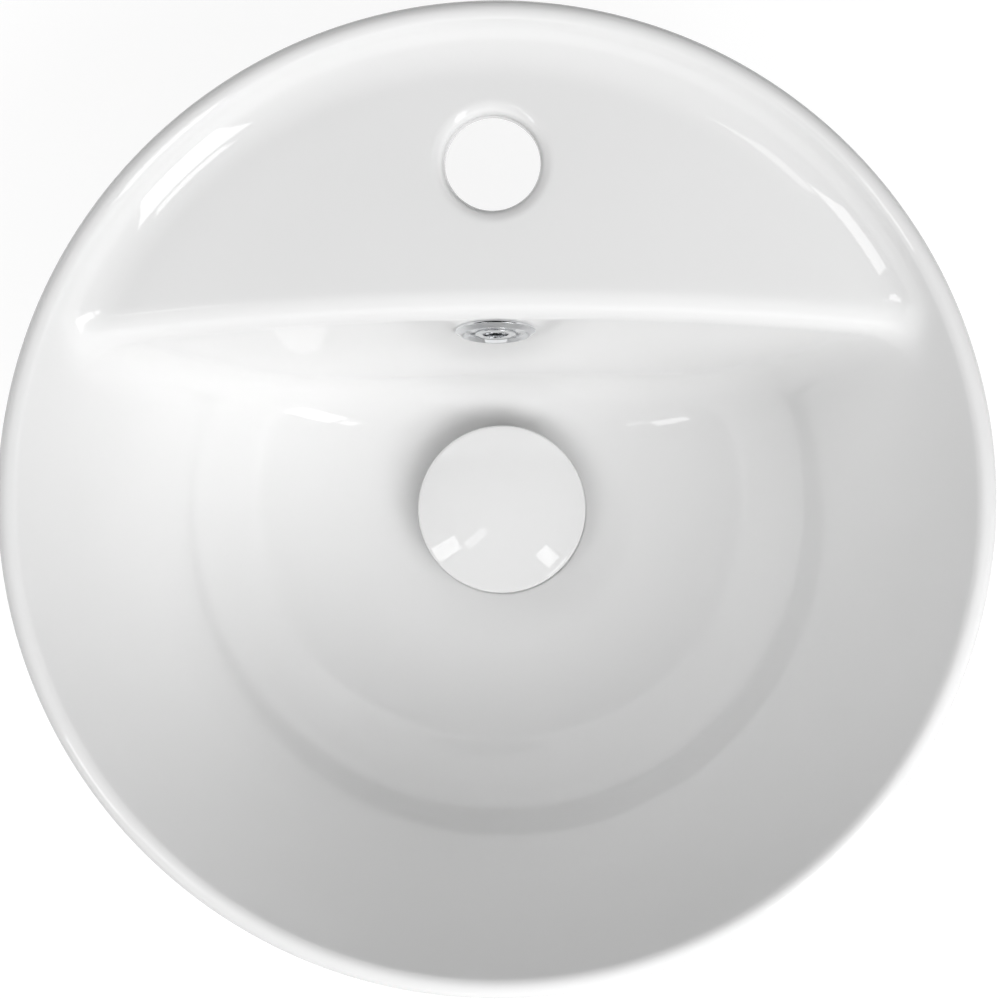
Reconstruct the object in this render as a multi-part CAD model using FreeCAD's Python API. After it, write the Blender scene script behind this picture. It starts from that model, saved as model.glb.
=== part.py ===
"""Round countertop hand basin, 360 mm across, with a tap ledge, an overflow and a press-to-close waste.

The unit is the millimetre. The origin is on the axis of the waste, in the plane of the countertop.
+Z points up, +Y points to the tap ledge at the back and -Y to the person who washes their hands.
"""
import FreeCAD
import Part
import math
import os

from FreeCAD import Placement, Rotation, Vector

# Overall sizes of the basin
RIM_DIAMETER = 360.0
BASIN_HEIGHT = 156.0
RIM_THICKNESS = 8.0
INNER_WALL_ANGLE = 58.5
OUTER_WALL_ANGLE = 60.0

# Bowl floor
FLOOR_HEIGHT = 28.0
FLOOR_ANGLE = 2.5
KNUCKLE_RADIUS = 82.0

# Tap ledge, whose front face is the back wall of the bowl
LEDGE_DEPTH = 13.0
LEDGE_THICKNESS = 12.0
LEDGE_EDGE_SHARE = 0.372
LEDGE_EDGE_RADIUS = 11.0
LEDGE_PLAN_RADIUS = 1325.0
BACK_WALL_ANGLE = 82.0
BACK_WALL_THICKNESS = 9.0
BLEND_RADIUS = 22.0

# Tap hole
TAP_HOLE_SETBACK = 57.2
TAP_HOLE_RADIUS = 17.5
TAP_HOLE_TOP_ROUND = 5.5
TAP_HOLE_UNDER_ROUND = 1.5

# Foot ring and the recess inside it
FOOT_ROUND = 12.0
FOOT_WIDTH = 16.15
RECESS_DEPTH = 18.5
RECESS_ROUND = 6.0

# Hollow behind the back wall, where the tap is fastened, and its window
SHELL_THICKNESS = 8.0
HOLLOW_FLOOR_HEIGHT = 30.0
HOLLOW_ROUND = 4.0
WINDOW_WIDTH = 84.0
WINDOW_FRONT_REACH = 27.0
WINDOW_BACK_REACH = 25.0
WINDOW_CORNER_RADIUS = 20.0

# Overflow duct inside the body
DUCT_WIDTH = 34.0
DUCT_DEPTH = 13.0
DUCT_WALL = 8.0
DUCT_FLOOR_HEIGHT = 8.0
DUCT_HEIGHT = 10.0
OVERFLOW_DROP = 24.0
OVERFLOW_HOLE_RADIUS = 11.0

# Waste hole through the body and the seat around it
BOSS_WALL = 15.0
BOSS_UNDERSIDE = 2.0
WASTE_HOLE_CLEARANCE = 1.0
SEAT_DEPTH = 2.5
SEAT_CLEARANCE = 0.5
SEAT_ROUND = 2.0

# Overflow ring, and the clip behind it that holds it in its hole
RING_RADIUS = 15.0
RING_THICKNESS = 2.4
RING_EDGE_THICKNESS = 0.9
RING_EDGE_ROUND = 0.4
RING_CREST_RADIUS = 12.4
RING_STEP_RADIUS = 11.2
RING_STEP_DEPTH = 1.3
RING_COLLAR_RADIUS = 7.7
RING_COLLAR_HEIGHT = 2.2
RING_BORE_RADIUS = 4.6
RING_STANDOFF = 0.15
RING_SOCKET_WALL = 1.2
RING_SOCKET_LENGTH = 4.5
RING_ARMS = 4
RING_ARM_WIDTH = 1.3
RING_ARM_DEPTH = 2.0
RING_ARM_SINK = 1.2
RING_HUB_RADIUS = 1.2
CLIP_RADIUS = 10.7
CLIP_WALL = 1.3
CLIP_LENGTH = 12.5
CLIP_SLOT_WIDTH = 2.6
CLIP_BARB_HEIGHT = 0.9
CLIP_LEGS = 4

# Waste body: flange, neck, threaded tube and overflow slots
FLANGE_WIDTH = 8.5
FLANGE_THICKNESS = 2.2
FLANGE_ROUND = 0.8
GASKET_THICKNESS = 1.3
GASKET_MARGIN = 1.5
FUNNEL_FLARE = 0.5
FUNNEL_DEPTH = 4.5
NECK_STEP = 1.045
NECK_LENGTH = 6.0
TUBE_RADIUS = 20.955
TUBE_WALL = 2.4
TUBE_END = -46.0
TUBE_CHAMFER = 1.0
TUBE_RELIEF_WIDTH = 2.0
TUBE_RELIEF_DEPTH = 0.6
TUBE_SLOTS = 4
TUBE_SLOT_WIDTH = 14.0
TUBE_SLOT_MARGIN = 1.0

# Spider that holds the plug unit inside the tube
SPIDER_TOP = -4.0
SPIDER_HEIGHT = 6.0
SPIDER_ARMS = 3
SPIDER_ARM_WIDTH = 2.6
SPIDER_HUB_RADIUS = 6.8

# Seals and nut below the body
LOWER_SEAL_COVER = 9.0
LOWER_SEAL_THICKNESS = 4.0
LOWER_SEAL_TIP = 3.0
SLIP_WASHER_MARGIN = 2.0
SLIP_WASHER_THICKNESS = 1.6
NUT_WALL = 6.045
NUT_HEIGHT = 9.0
NUT_CHAMFER = 2.5
NUT_SIDES = 6

# Plug unit: housing, stud, bonnet and what slides inside
HOUSING_RADIUS = 9.0
HOUSING_WALL = 2.0
HOUSING_FLOOR = 2.5
STUD_RADIUS = 4.0
STUD_LENGTH = 7.5
STUD_FLANGE_RADIUS = 5.8
STUD_FLANGE_THICKNESS = 1.2
GUIDE_RIBS = 4
GUIDE_RIB_WIDTH = 1.2
GUIDE_RIB_DEPTH = 0.7
BONNET_WALL = 1.45
BONNET_SKIRT = 5.0
BONNET_THICKNESS = 3.4
BONNET_ROUND = 0.6
STEM_SEAL_WIRE = 1.6
SPRING_WIRE = 0.9
SPRING_TURNS = 7
SPRING_RADIUS = 4.9
SPRING_WASHER_THICKNESS = 0.5
SPRING_WASHER_RADIUS = 5.6
ROTOR_HEIGHT = 4.0
ROTOR_TEETH = 8
TOOTH_DEPTH = 1.0
TOOTH_GAP_WIDTH = 1.6
CROWN_HEIGHT = 3.4
STEM_RADIUS = 3.6
PIN_RADIUS = 2.2
LOWER_PIN_LENGTH = 12.0
UPPER_PIN_LENGTH = 4.0
PRESS_TRAVEL = 8.0

# Cap, insert, carrier and seal
CAP_OVERHANG = 2.7
CAP_SHUT_GAP = 0.8
CAP_EDGE_HEIGHT = 4.4
CAP_EDGE_ROUND = 1.5
CAP_FOOT_ROUND = 1.0
CAP_DOME_HEIGHT = 5.0
CAP_RIM_WIDTH = 4.4
CAP_CAVITY_DEPTH = 3.3
CARRIER_CLEARANCE = 0.7
CARRIER_THICKNESS = 1.6
CARRIER_SLEEVE_WALL = 1.8
CARRIER_SLEEVE_COVER = 0.9
SEAL_MARGIN = 1.0
SEAL_WIDTH = 4.2
SEAL_ROUND = 0.8
INSERT_RADIUS = 6.5
INSERT_DEPTH = 3.0

# Clearances, and how far a cutting body runs past what it cuts
RUNNING_GAP = 0.3
FIT_GAP = 0.05
OVERRUN = 5.0
TOUCH_TOLERANCE = 0.001

# Places worked out from the sizes above
RIM_RADIUS = RIM_DIAMETER / 2
BEAD_RADIUS = RIM_THICKNESS / 2
NECK_RADIUS = TUBE_RADIUS + NECK_STEP
FUNNEL_TOP_RADIUS = NECK_RADIUS + FUNNEL_FLARE
FLANGE_RADIUS = NECK_RADIUS + FLANGE_WIDTH
GASKET_RADIUS = FLANGE_RADIUS - GASKET_MARGIN
SEAT_RADIUS = FLANGE_RADIUS + SEAT_CLEARANCE
WASTE_HOLE_RADIUS = NECK_RADIUS + WASTE_HOLE_CLEARANCE
BOSS_RADIUS = WASTE_HOLE_RADIUS + BOSS_WALL
LOWER_SEAL_RADIUS = WASTE_HOLE_RADIUS + LOWER_SEAL_COVER
SLIP_WASHER_RADIUS = LOWER_SEAL_RADIUS - SLIP_WASHER_MARGIN
CAP_RADIUS = FLANGE_RADIUS + CAP_OVERHANG
CARRIER_RADIUS = CAP_RADIUS - CAP_RIM_WIDTH - CARRIER_CLEARANCE
SEAL_RADIUS = CARRIER_RADIUS - SEAL_MARGIN
LEDGE_HEIGHT = BASIN_HEIGHT - LEDGE_DEPTH
LEDGE_EDGE_Y = RIM_RADIUS * LEDGE_EDGE_SHARE
TAP_HOLE_Y = RIM_RADIUS - TAP_HOLE_SETBACK
SEAT_HEIGHT = FLOOR_HEIGHT - SEAT_DEPTH
FLANGE_BOTTOM = SEAT_HEIGHT + GASKET_THICKNESS
FLANGE_TOP = FLANGE_BOTTOM + FLANGE_THICKNESS
CAP_BOTTOM = FLANGE_TOP + CAP_SHUT_GAP + PRESS_TRAVEL
CAP_ROOF = CAP_BOTTOM + CAP_CAVITY_DEPTH
CARRIER_TOP = CAP_ROOF - FIT_GAP
CARRIER_BOTTOM = CARRIER_TOP - CARRIER_THICKNESS
SEAL_BOTTOM = FLANGE_TOP + PRESS_TRAVEL + RUNNING_GAP
BONNET_TOP = CARRIER_BOTTOM - PRESS_TRAVEL - 2 * RUNNING_GAP
HOUSING_BOTTOM = SPIDER_TOP
HOUSING_TOP = BONNET_TOP - BONNET_THICKNESS
BORE_RADIUS = HOUSING_RADIUS - HOUSING_WALL
RIB_TIP_RADIUS = BORE_RADIUS - GUIDE_RIB_DEPTH
BONNET_RADIUS = HOUSING_RADIUS + BONNET_WALL
SLEEVE_BORE_RADIUS = BONNET_RADIUS + RUNNING_GAP
CROWN_TOP = HOUSING_TOP - RUNNING_GAP
CROWN_BOTTOM = CROWN_TOP - CROWN_HEIGHT
ROTOR_TOP = CROWN_BOTTOM - RUNNING_GAP
ROTOR_BOTTOM = ROTOR_TOP - ROTOR_HEIGHT
SPRING_TOP = ROTOR_BOTTOM - FIT_GAP - SPRING_WASHER_THICKNESS
SPRING_BOTTOM = HOUSING_BOTTOM + HOUSING_FLOOR + STUD_FLANGE_THICKNESS
SEAL_SEAT = BOSS_UNDERSIDE - LOWER_SEAL_THICKNESS
NUT_TOP = SEAL_SEAT - SLIP_WASHER_THICKNESS
TUBE_BORE_RADIUS = TUBE_RADIUS - TUBE_WALL
FULL_TURN = 360.0
Z_AXIS = Vector(0, 0, 1)


def tangent_of(angle):
    """Return the tangent of an angle in degrees."""
    return math.tan(math.radians(angle))


def on_profile(radius, height):
    """Return a point of a turned profile."""
    return Vector(radius, 0, height)


def line(start, end):
    """Return the edge between two points."""
    return Part.LineSegment(start, end).toShape()


def arc_about(centre, radius, start_angle, end_angle):
    """Return an arc of a turned profile, with its angles measured from the horizontal."""
    points = []
    for angle in (start_angle, (start_angle + end_angle) / 2, end_angle):
        turn = math.radians(angle)
        points.append(centre + Vector(math.cos(turn), 0, math.sin(turn)) * radius)
    return Part.Arc(*points).toShape()


def turned_edges(edges):
    """Return the solid that a closed profile makes when it turns about the vertical axis."""
    face = Part.Face(Part.Wire(edges))
    return face.revolve(Vector(), Z_AXIS, FULL_TURN)


def turned(*points):
    """Return the solid that a polygon of (radius, height) pairs makes about the vertical axis."""
    corners = [on_profile(*point) for point in points]
    wire = Part.makePolygon(corners + corners[:1])
    return Part.Face(wire).revolve(Vector(), Z_AXIS, FULL_TURN)


def tube(outer, inner, bottom, top):
    """Return an upright tube on the vertical axis."""
    return turned((inner, bottom), (outer, bottom), (outer, top), (inner, top))


def rod(radius, bottom, top):
    """Return an upright rod on the vertical axis."""
    return Part.makeCylinder(radius, top - bottom, Vector(0, 0, bottom))


def block(x_range, y_range, z_range):
    """Return a box between three pairs of coordinates."""
    low = Vector(x_range[0], y_range[0], z_range[0])
    sizes = [pair[1] - pair[0] for pair in (x_range, y_range, z_range)]
    return Part.makeBox(*sizes, low)


def spun(shape, angle):
    """Return a copy of a shape turned about the vertical axis."""
    copy = shape.copy()
    copy.rotate(Vector(), Z_AXIS, angle)
    return copy


def round_edges(shape, *places):
    """Return the circular edges about the vertical axis at the given (radius, height) pairs."""
    found = []
    for edge in shape.Edges:
        if edge.Degenerated or not isinstance(edge.Curve, Part.Circle):
            continue
        here = (edge.Curve.Radius, edge.Curve.Center.z)
        if any(math.dist(here, place) < TOUCH_TOLERANCE for place in places):
            found.append(edge)
    return found


def rounded(shape, radius, *places):
    """Return the shape with its circular edges at the given places rounded."""
    return shape.makeFillet(radius, round_edges(shape, *places))


def bevelled(shape, size, *places):
    """Return the shape with its circular edges at the given places bevelled."""
    return shape.makeChamfer(size, round_edges(shape, *places))


def wall_cone(clearance):
    """Return the body bounded by the back wall of the bowl, pushed back by a clearance."""
    lean = 1 / tangent_of(BACK_WALL_ANGLE)
    push = clearance / math.sin(math.radians(BACK_WALL_ANGLE))
    top_radius = LEDGE_PLAN_RADIUS + push + OVERRUN * lean
    low_radius = LEDGE_PLAN_RADIUS + push - (LEDGE_HEIGHT + OVERRUN) * lean
    centre = Vector(0, LEDGE_EDGE_Y - LEDGE_PLAN_RADIUS, -OVERRUN)
    return Part.makeCone(low_radius, top_radius, LEDGE_HEIGHT + 2 * OVERRUN, centre)


def wall_y(clearance, height):
    """Return how far back the back wall lies at a height, pushed back by a clearance."""
    push = clearance / math.sin(math.radians(BACK_WALL_ANGLE))
    return LEDGE_EDGE_Y + push - (LEDGE_HEIGHT - height) / tangent_of(BACK_WALL_ANGLE)


def behind_wall(clearance, z_range):
    """Return the space behind the back wall, pushed back by a clearance, between two heights."""
    space = block((-RIM_RADIUS, RIM_RADIUS), (0, RIM_RADIUS), z_range)
    return space.cut(wall_cone(clearance))


def bead_centre():
    """Return the centre of the rim bead's section."""
    return on_profile(RIM_RADIUS - BEAD_RADIUS, BASIN_HEIGHT - BEAD_RADIUS)


def inner_profile():
    """Return the edges of the bowl's inner surface, from the axis out to the rim bead."""
    turn = math.radians(INNER_WALL_ANGLE)
    top = bead_centre() + Vector(-math.sin(turn), 0, math.cos(turn)) * BEAD_RADIUS
    slope = tangent_of(FLOOR_ANGLE)
    wall_slope = tangent_of(INNER_WALL_ANGLE)
    axis_height = FLOOR_HEIGHT - (SEAT_RADIUS + SEAT_ROUND) * slope
    corner_radius = (top.z - axis_height - top.x * wall_slope) / (slope - wall_slope)
    corner = on_profile(corner_radius, axis_height + corner_radius * slope)
    reach = KNUCKLE_RADIUS * tangent_of((INNER_WALL_ANGLE - FLOOR_ANGLE) / 2)
    floor_turn = math.radians(FLOOR_ANGLE)
    start = corner - Vector(math.cos(floor_turn), 0, math.sin(floor_turn)) * reach
    end = corner + Vector(math.cos(turn), 0, math.sin(turn)) * reach
    middle = start + Vector(-math.sin(floor_turn), 0, math.cos(floor_turn)) * KNUCKLE_RADIUS
    knuckle = arc_about(middle, KNUCKLE_RADIUS, FLOOR_ANGLE - 90, INNER_WALL_ANGLE - 90)
    return [line(on_profile(0, axis_height), start), knuckle, line(end, top)]


def outer_line(clearance):
    """Return the foot and top points of the outer wall's slope, pushed inwards by a clearance."""
    turn = math.radians(OUTER_WALL_ANGLE)
    top = bead_centre() + Vector(math.sin(turn), 0, -math.cos(turn)) * (BEAD_RADIUS - clearance)
    low = top - Vector(1 / tangent_of(OUTER_WALL_ANGLE), 0, 1) * top.z
    return low, top


def bowl_shell():
    """Return the plain bowl: a leaning wall under a round rim, a floor and a foot, all turned."""
    inside = inner_profile()
    low, bead_out = outer_line(0)
    turn = math.radians(OUTER_WALL_ANGLE)
    outer_bead = arc_about(bead_centre(), BEAD_RADIUS, OUTER_WALL_ANGLE - 90, 90)
    inner_bead = arc_about(bead_centre(), BEAD_RADIUS, 90, INNER_WALL_ANGLE + 90)
    reach = FOOT_ROUND * tangent_of(OUTER_WALL_ANGLE / 2)
    foot_end = low - Vector(reach, 0, 0)
    wall_start = low + Vector(math.cos(turn), 0, math.sin(turn)) * reach
    foot = arc_about(foot_end + Vector(0, 0, FOOT_ROUND), FOOT_ROUND, -90, OUTER_WALL_ANGLE - 90)
    base = line(on_profile(0, 0), foot_end)
    axis = line(on_profile(0, 0), inside[0].Vertexes[0].Point)
    edges = [axis, base, foot, line(wall_start, bead_out), outer_bead, inner_bead] + inside
    return turned_edges(Part.__sortEdges__(edges))


def ledge_block():
    """Return the raised back of the bowl, which ends inside the wall of the plain bowl."""
    centre = bead_centre()
    bottom = FLOOR_HEIGHT - DUCT_WALL + SEAT_DEPTH
    lean = 1 / tangent_of(INNER_WALL_ANGLE)
    low_radius = centre.x - (centre.z - bottom) * lean
    top_radius = centre.x - (centre.z - LEDGE_HEIGHT) * lean
    reach = turned((0, bottom), (low_radius, bottom), (top_radius, LEDGE_HEIGHT), (0, LEDGE_HEIGHT))
    raised = behind_wall(0, (0, LEDGE_HEIGHT)).common(reach)
    front = [edge for edge in raised.Edges if is_ledge_front(edge)]
    return raised.makeFillet(LEDGE_EDGE_RADIUS, front)


def is_ledge_front(edge):
    """Tell whether an edge is the long front edge of the ledge."""
    curve = edge.Curve
    return isinstance(curve, Part.Circle) and abs(curve.Radius - LEDGE_PLAN_RADIUS) < TOUCH_TOLERANCE


def shared_edges(whole, first, second):
    """Return the edges of a whole whose middles lie on the skins of both its parts."""
    found = []
    for edge in whole.Edges:
        middle = Part.Vertex(edge.valueAt((edge.FirstParameter + edge.LastParameter) / 2))
        gaps = [middle.distToShape(part.Shells[0])[0] for part in (first, second)]
        if max(gaps) < TOUCH_TOLERANCE:
            found.append(edge)
    return found


def blended_bowl():
    """Return the bowl with its ledge and back wall, blended where they meet."""
    bowl = bowl_shell()
    ledge = ledge_block()
    whole = bowl.fuse(ledge)
    return whole.makeFillet(BLEND_RADIUS, shared_edges(whole, bowl, ledge))


def duct_block():
    """Return the walls of the overflow duct, down the back wall and forward to the waste boss."""
    side = DUCT_WIDTH / 2 + DUCT_WALL
    x_range = (-side, side)
    upright = block(x_range, (0, RIM_RADIUS), (BOSS_UNDERSIDE, LEDGE_HEIGHT))
    back = BACK_WALL_THICKNESS + DUCT_DEPTH + DUCT_WALL
    upright = upright.common(wall_cone(back)).cut(wall_cone(0))
    foot_y = wall_y(BACK_WALL_THICKNESS + DUCT_DEPTH, BOSS_UNDERSIDE)
    flat = block(x_range, (0, foot_y), (BOSS_UNDERSIDE, FLOOR_HEIGHT - DUCT_WALL))
    return upright.fuse(flat)


def duct_bore():
    """Return the passage of the overflow duct, from the overflow hole to the waste hole."""
    x_range = (-DUCT_WIDTH / 2, DUCT_WIDTH / 2)
    top = LEDGE_HEIGHT - LEDGE_THICKNESS
    upright = block(x_range, (0, RIM_RADIUS), (DUCT_FLOOR_HEIGHT, top))
    upright = upright.common(wall_cone(BACK_WALL_THICKNESS + DUCT_DEPTH))
    upright = upright.cut(wall_cone(BACK_WALL_THICKNESS))
    roof = DUCT_FLOOR_HEIGHT + DUCT_HEIGHT
    foot_y = wall_y(BACK_WALL_THICKNESS + DUCT_DEPTH / 2, DUCT_FLOOR_HEIGHT)
    flat = block(x_range, (0, foot_y), (DUCT_FLOOR_HEIGHT, roof))
    return upright.fuse(flat)


def tap_hollow():
    """Return the hollow under the ledge, between the back wall and the outer wall."""
    top = LEDGE_HEIGHT - LEDGE_THICKNESS
    low = outer_line(SHELL_THICKNESS)[0]
    lean = 1 / tangent_of(OUTER_WALL_ANGLE)
    low_radius = low.x + HOLLOW_FLOOR_HEIGHT * lean
    reach = turned((0, HOLLOW_FLOOR_HEIGHT), (low_radius, HOLLOW_FLOOR_HEIGHT),
                   (low.x + top * lean, top), (0, top))
    space = behind_wall(BACK_WALL_THICKNESS, (0, LEDGE_HEIGHT)).common(reach)
    return space.makeFillet(HOLLOW_ROUND, space.Edges).cut(duct_block())


def tap_window():
    """Return the upright opening below the tap hole, which lets the tap's hoses and tools through."""
    half = WINDOW_WIDTH / 2
    top = LEDGE_HEIGHT - LEDGE_THICKNESS - HOLLOW_ROUND
    y_range = (TAP_HOLE_Y - WINDOW_FRONT_REACH, TAP_HOLE_Y + WINDOW_BACK_REACH)
    opening = block((-half, half), y_range, (0, top))
    corners = [edge for edge in opening.Edges if edge.tangentAt(edge.FirstParameter).z != 0]
    return opening.makeFillet(WINDOW_CORNER_RADIUS, corners)


def foot_recess():
    """Return the recess inside the foot ring, round the waste boss and the duct."""
    radius = outer_line(0)[0].x - FOOT_WIDTH
    space = rounded(rod(radius, -OVERRUN, RECESS_DEPTH), RECESS_ROUND, (radius, RECESS_DEPTH))
    boss = rod(BOSS_RADIUS, BOSS_UNDERSIDE, FLOOR_HEIGHT)
    return space.cut(boss.fuse(duct_block()))


def overflow_place():
    """Return the placement of the overflow ring: on the back wall, facing out of it."""
    height = LEDGE_HEIGHT - OVERFLOW_DROP
    return Placement(Vector(0, wall_y(0, height), height), Rotation(Vector(1, 0, 0), BACK_WALL_ANGLE))


def on_overflow(shape):
    """Return the shape moved from the origin to the overflow hole."""
    shape.Placement = overflow_place().multiply(shape.Placement)
    return shape


def make_basin_body():
    """Return the glazed body with its foot, boss, overflow duct, tap hole and waste hole."""
    body = blended_bowl().cut(tap_hollow()).cut(foot_recess())
    body = body.cut(tap_window())
    body = body.cut(duct_bore())
    hole = on_overflow(rod(OVERFLOW_HOLE_RADIUS, -BACK_WALL_THICKNESS - OVERRUN, OVERRUN))
    body = body.cut(hole)
    seat = turned((0, SEAT_HEIGHT), (SEAT_RADIUS, SEAT_HEIGHT),
                  (SEAT_RADIUS + SEAT_DEPTH + OVERRUN, FLOOR_HEIGHT + OVERRUN), (0, FLOOR_HEIGHT + OVERRUN))
    body = body.cut(seat).cut(rod(WASTE_HOLE_RADIUS, 0, FLOOR_HEIGHT))
    return tap_drilled(body)


def tap_drilled(body):
    """Return the body with the tap hole through its ledge, rounded at both ends."""
    under = LEDGE_HEIGHT - LEDGE_THICKNESS
    middle = LEDGE_HEIGHT - TAP_HOLE_TOP_ROUND
    low = under + TAP_HOLE_UNDER_ROUND
    wide_top = TAP_HOLE_RADIUS + TAP_HOLE_TOP_ROUND
    wide_low = TAP_HOLE_RADIUS + TAP_HOLE_UNDER_ROUND
    upper = arc_about(on_profile(wide_top, middle), TAP_HOLE_TOP_ROUND, 90, 180)
    lower = arc_about(on_profile(wide_low, low), TAP_HOLE_UNDER_ROUND, 180, 270)
    corners = [on_profile(wide_low, under), on_profile(0, under), on_profile(0, LEDGE_HEIGHT),
               on_profile(wide_top, LEDGE_HEIGHT)]
    straight = [line(*pair) for pair in zip(corners, corners[1:])]
    bore = line(on_profile(TAP_HOLE_RADIUS, middle), on_profile(TAP_HOLE_RADIUS, low))
    drill = turned_edges(Part.__sortEdges__(straight + [upper, bore, lower]))
    drill.translate(Vector(0, TAP_HOLE_Y, 0))
    return body.cut(drill)


def radial_block(width, reach, z_range):
    """Return a bar of a given width that runs out from the vertical axis along +X."""
    return block((0, reach), (-width / 2, width / 2), z_range)


def ring_of(shape, count, first_angle=0):
    """Return copies of a shape evenly spaced about the vertical axis, as one compound."""
    copies = [spun(shape, first_angle + FULL_TURN * index / count) for index in range(count)]
    return Part.makeCompound(copies)


def make_overflow_ring():
    """Return the bright ring round the overflow hole, with its socket and the cross in its bore."""
    step = RING_THICKNESS - RING_STEP_DEPTH
    socket_radius = CLIP_RADIUS - CLIP_WALL - FIT_GAP
    socket_bore = socket_radius - RING_SOCKET_WALL
    ring = turned((RING_BORE_RADIUS, 0), (socket_bore, 0), (socket_bore, -RING_SOCKET_LENGTH),
                  (socket_radius, -RING_SOCKET_LENGTH), (socket_radius, 0), (RING_RADIUS, 0),
                  (RING_RADIUS, RING_EDGE_THICKNESS), (RING_CREST_RADIUS, RING_THICKNESS),
                  (RING_STEP_RADIUS, step), (RING_COLLAR_RADIUS, step),
                  (RING_COLLAR_RADIUS, RING_COLLAR_HEIGHT), (RING_BORE_RADIUS, RING_COLLAR_HEIGHT))
    ring = rounded(ring, RING_EDGE_ROUND,
                   (RING_RADIUS, RING_EDGE_THICKNESS), (RING_CREST_RADIUS, RING_THICKNESS),
                   (RING_COLLAR_RADIUS, RING_COLLAR_HEIGHT), (RING_BORE_RADIUS, RING_COLLAR_HEIGHT))
    arm_top = RING_COLLAR_HEIGHT - RING_ARM_SINK
    z_range = (arm_top - RING_ARM_DEPTH, arm_top)
    arm = radial_block(RING_ARM_WIDTH, (RING_BORE_RADIUS + RING_COLLAR_RADIUS) / 2, z_range)
    arms = ring_of(arm, RING_ARMS, FULL_TURN / RING_ARMS / 2)
    ring = ring.fuse(arms.Solids + [rod(RING_HUB_RADIUS, *z_range)])
    ring.translate(Vector(0, 0, RING_STANDOFF))
    return on_overflow(ring)


def make_overflow_clip():
    """Return the springy clip that grips the ring's socket and hooks behind the back wall."""
    hook = BACK_WALL_THICKNESS + RUNNING_GAP
    bore = CLIP_RADIUS - CLIP_WALL
    barb = CLIP_RADIUS + CLIP_BARB_HEIGHT
    clip = turned((bore, 0), (CLIP_RADIUS, 0), (CLIP_RADIUS, -hook), (barb, -hook),
                  (CLIP_RADIUS, -CLIP_LENGTH), (bore, -CLIP_LENGTH))
    slot = radial_block(CLIP_SLOT_WIDTH, barb + OVERRUN, (-CLIP_LENGTH - OVERRUN, -RING_SOCKET_LENGTH))
    return on_overflow(clip.cut(ring_of(slot, CLIP_LEGS).Solids))


def make_waste_cap():
    """Return the glazed cap: a shallow dome over a hollow that takes the carrier."""
    top = CAP_BOTTOM + CAP_EDGE_HEIGHT + CAP_DOME_HEIGHT
    dome_radius = (CAP_RADIUS ** 2 + CAP_DOME_HEIGHT ** 2) / (2 * CAP_DOME_HEIGHT)
    ball = Part.makeSphere(dome_radius, Vector(0, 0, top - dome_radius))
    cap = rod(CAP_RADIUS, CAP_BOTTOM, top).common(ball)
    cap = rounded(cap, CAP_EDGE_ROUND, (CAP_RADIUS, CAP_BOTTOM + CAP_EDGE_HEIGHT))
    cap = rounded(cap, CAP_FOOT_ROUND, (CAP_RADIUS, CAP_BOTTOM))
    cap = cap.cut(rod(CAP_RADIUS - CAP_RIM_WIDTH, CAP_BOTTOM, CAP_ROOF))
    return cap.cut(rod(INSERT_RADIUS + FIT_GAP, CAP_ROOF, CAP_ROOF + INSERT_DEPTH))


def make_cap_insert():
    """Return the threaded bush set into the cap, which takes the plunger's upper pin."""
    top = CAP_ROOF + INSERT_DEPTH - FIT_GAP
    bush = rod(INSERT_RADIUS, CARRIER_BOTTOM, top)
    return bush.cut(rod(PIN_RADIUS + FIT_GAP, CARRIER_BOTTOM, CARRIER_BOTTOM + UPPER_PIN_LENGTH))


def make_cap_carrier():
    """Return the disc inside the cap, with the sleeve that hides the plug unit."""
    bore = INSERT_RADIUS + FIT_GAP
    sleeve = SLEEVE_BORE_RADIUS + CARRIER_SLEEVE_WALL
    sleeve_end = BONNET_TOP - CARRIER_SLEEVE_COVER
    return turned((bore, CARRIER_BOTTOM), (SLEEVE_BORE_RADIUS, CARRIER_BOTTOM),
                  (SLEEVE_BORE_RADIUS, sleeve_end), (sleeve, sleeve_end),
                  (sleeve, CARRIER_BOTTOM), (CARRIER_RADIUS, CARRIER_BOTTOM),
                  (CARRIER_RADIUS, CARRIER_TOP), (bore, CARRIER_TOP))


def make_cap_seal():
    """Return the rubber ring under the carrier, which shuts against the flange."""
    ring = tube(SEAL_RADIUS, SEAL_RADIUS - SEAL_WIDTH, SEAL_BOTTOM, CARRIER_BOTTOM)
    return rounded(ring, SEAL_ROUND, (SEAL_RADIUS, SEAL_BOTTOM), (SEAL_RADIUS - SEAL_WIDTH, SEAL_BOTTOM))


def tooth_gap(outer, height, depth):
    """Return one notch between two saw teeth, from its floor at a height to its mouth a depth away."""
    low, high = half_pair(TOOTH_GAP_WIDTH)
    start = PIN_RADIUS + FIT_GAP
    corners = [Vector(0, low, height + depth), Vector(0, high, height + depth), Vector(0, high, height)]
    notch = Part.Face(Part.makePolygon(corners + corners[:1])).extrude(Vector(outer + OVERRUN, 0, 0))
    return notch.cut(rod(start, *sorted((height, height + depth))))


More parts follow.
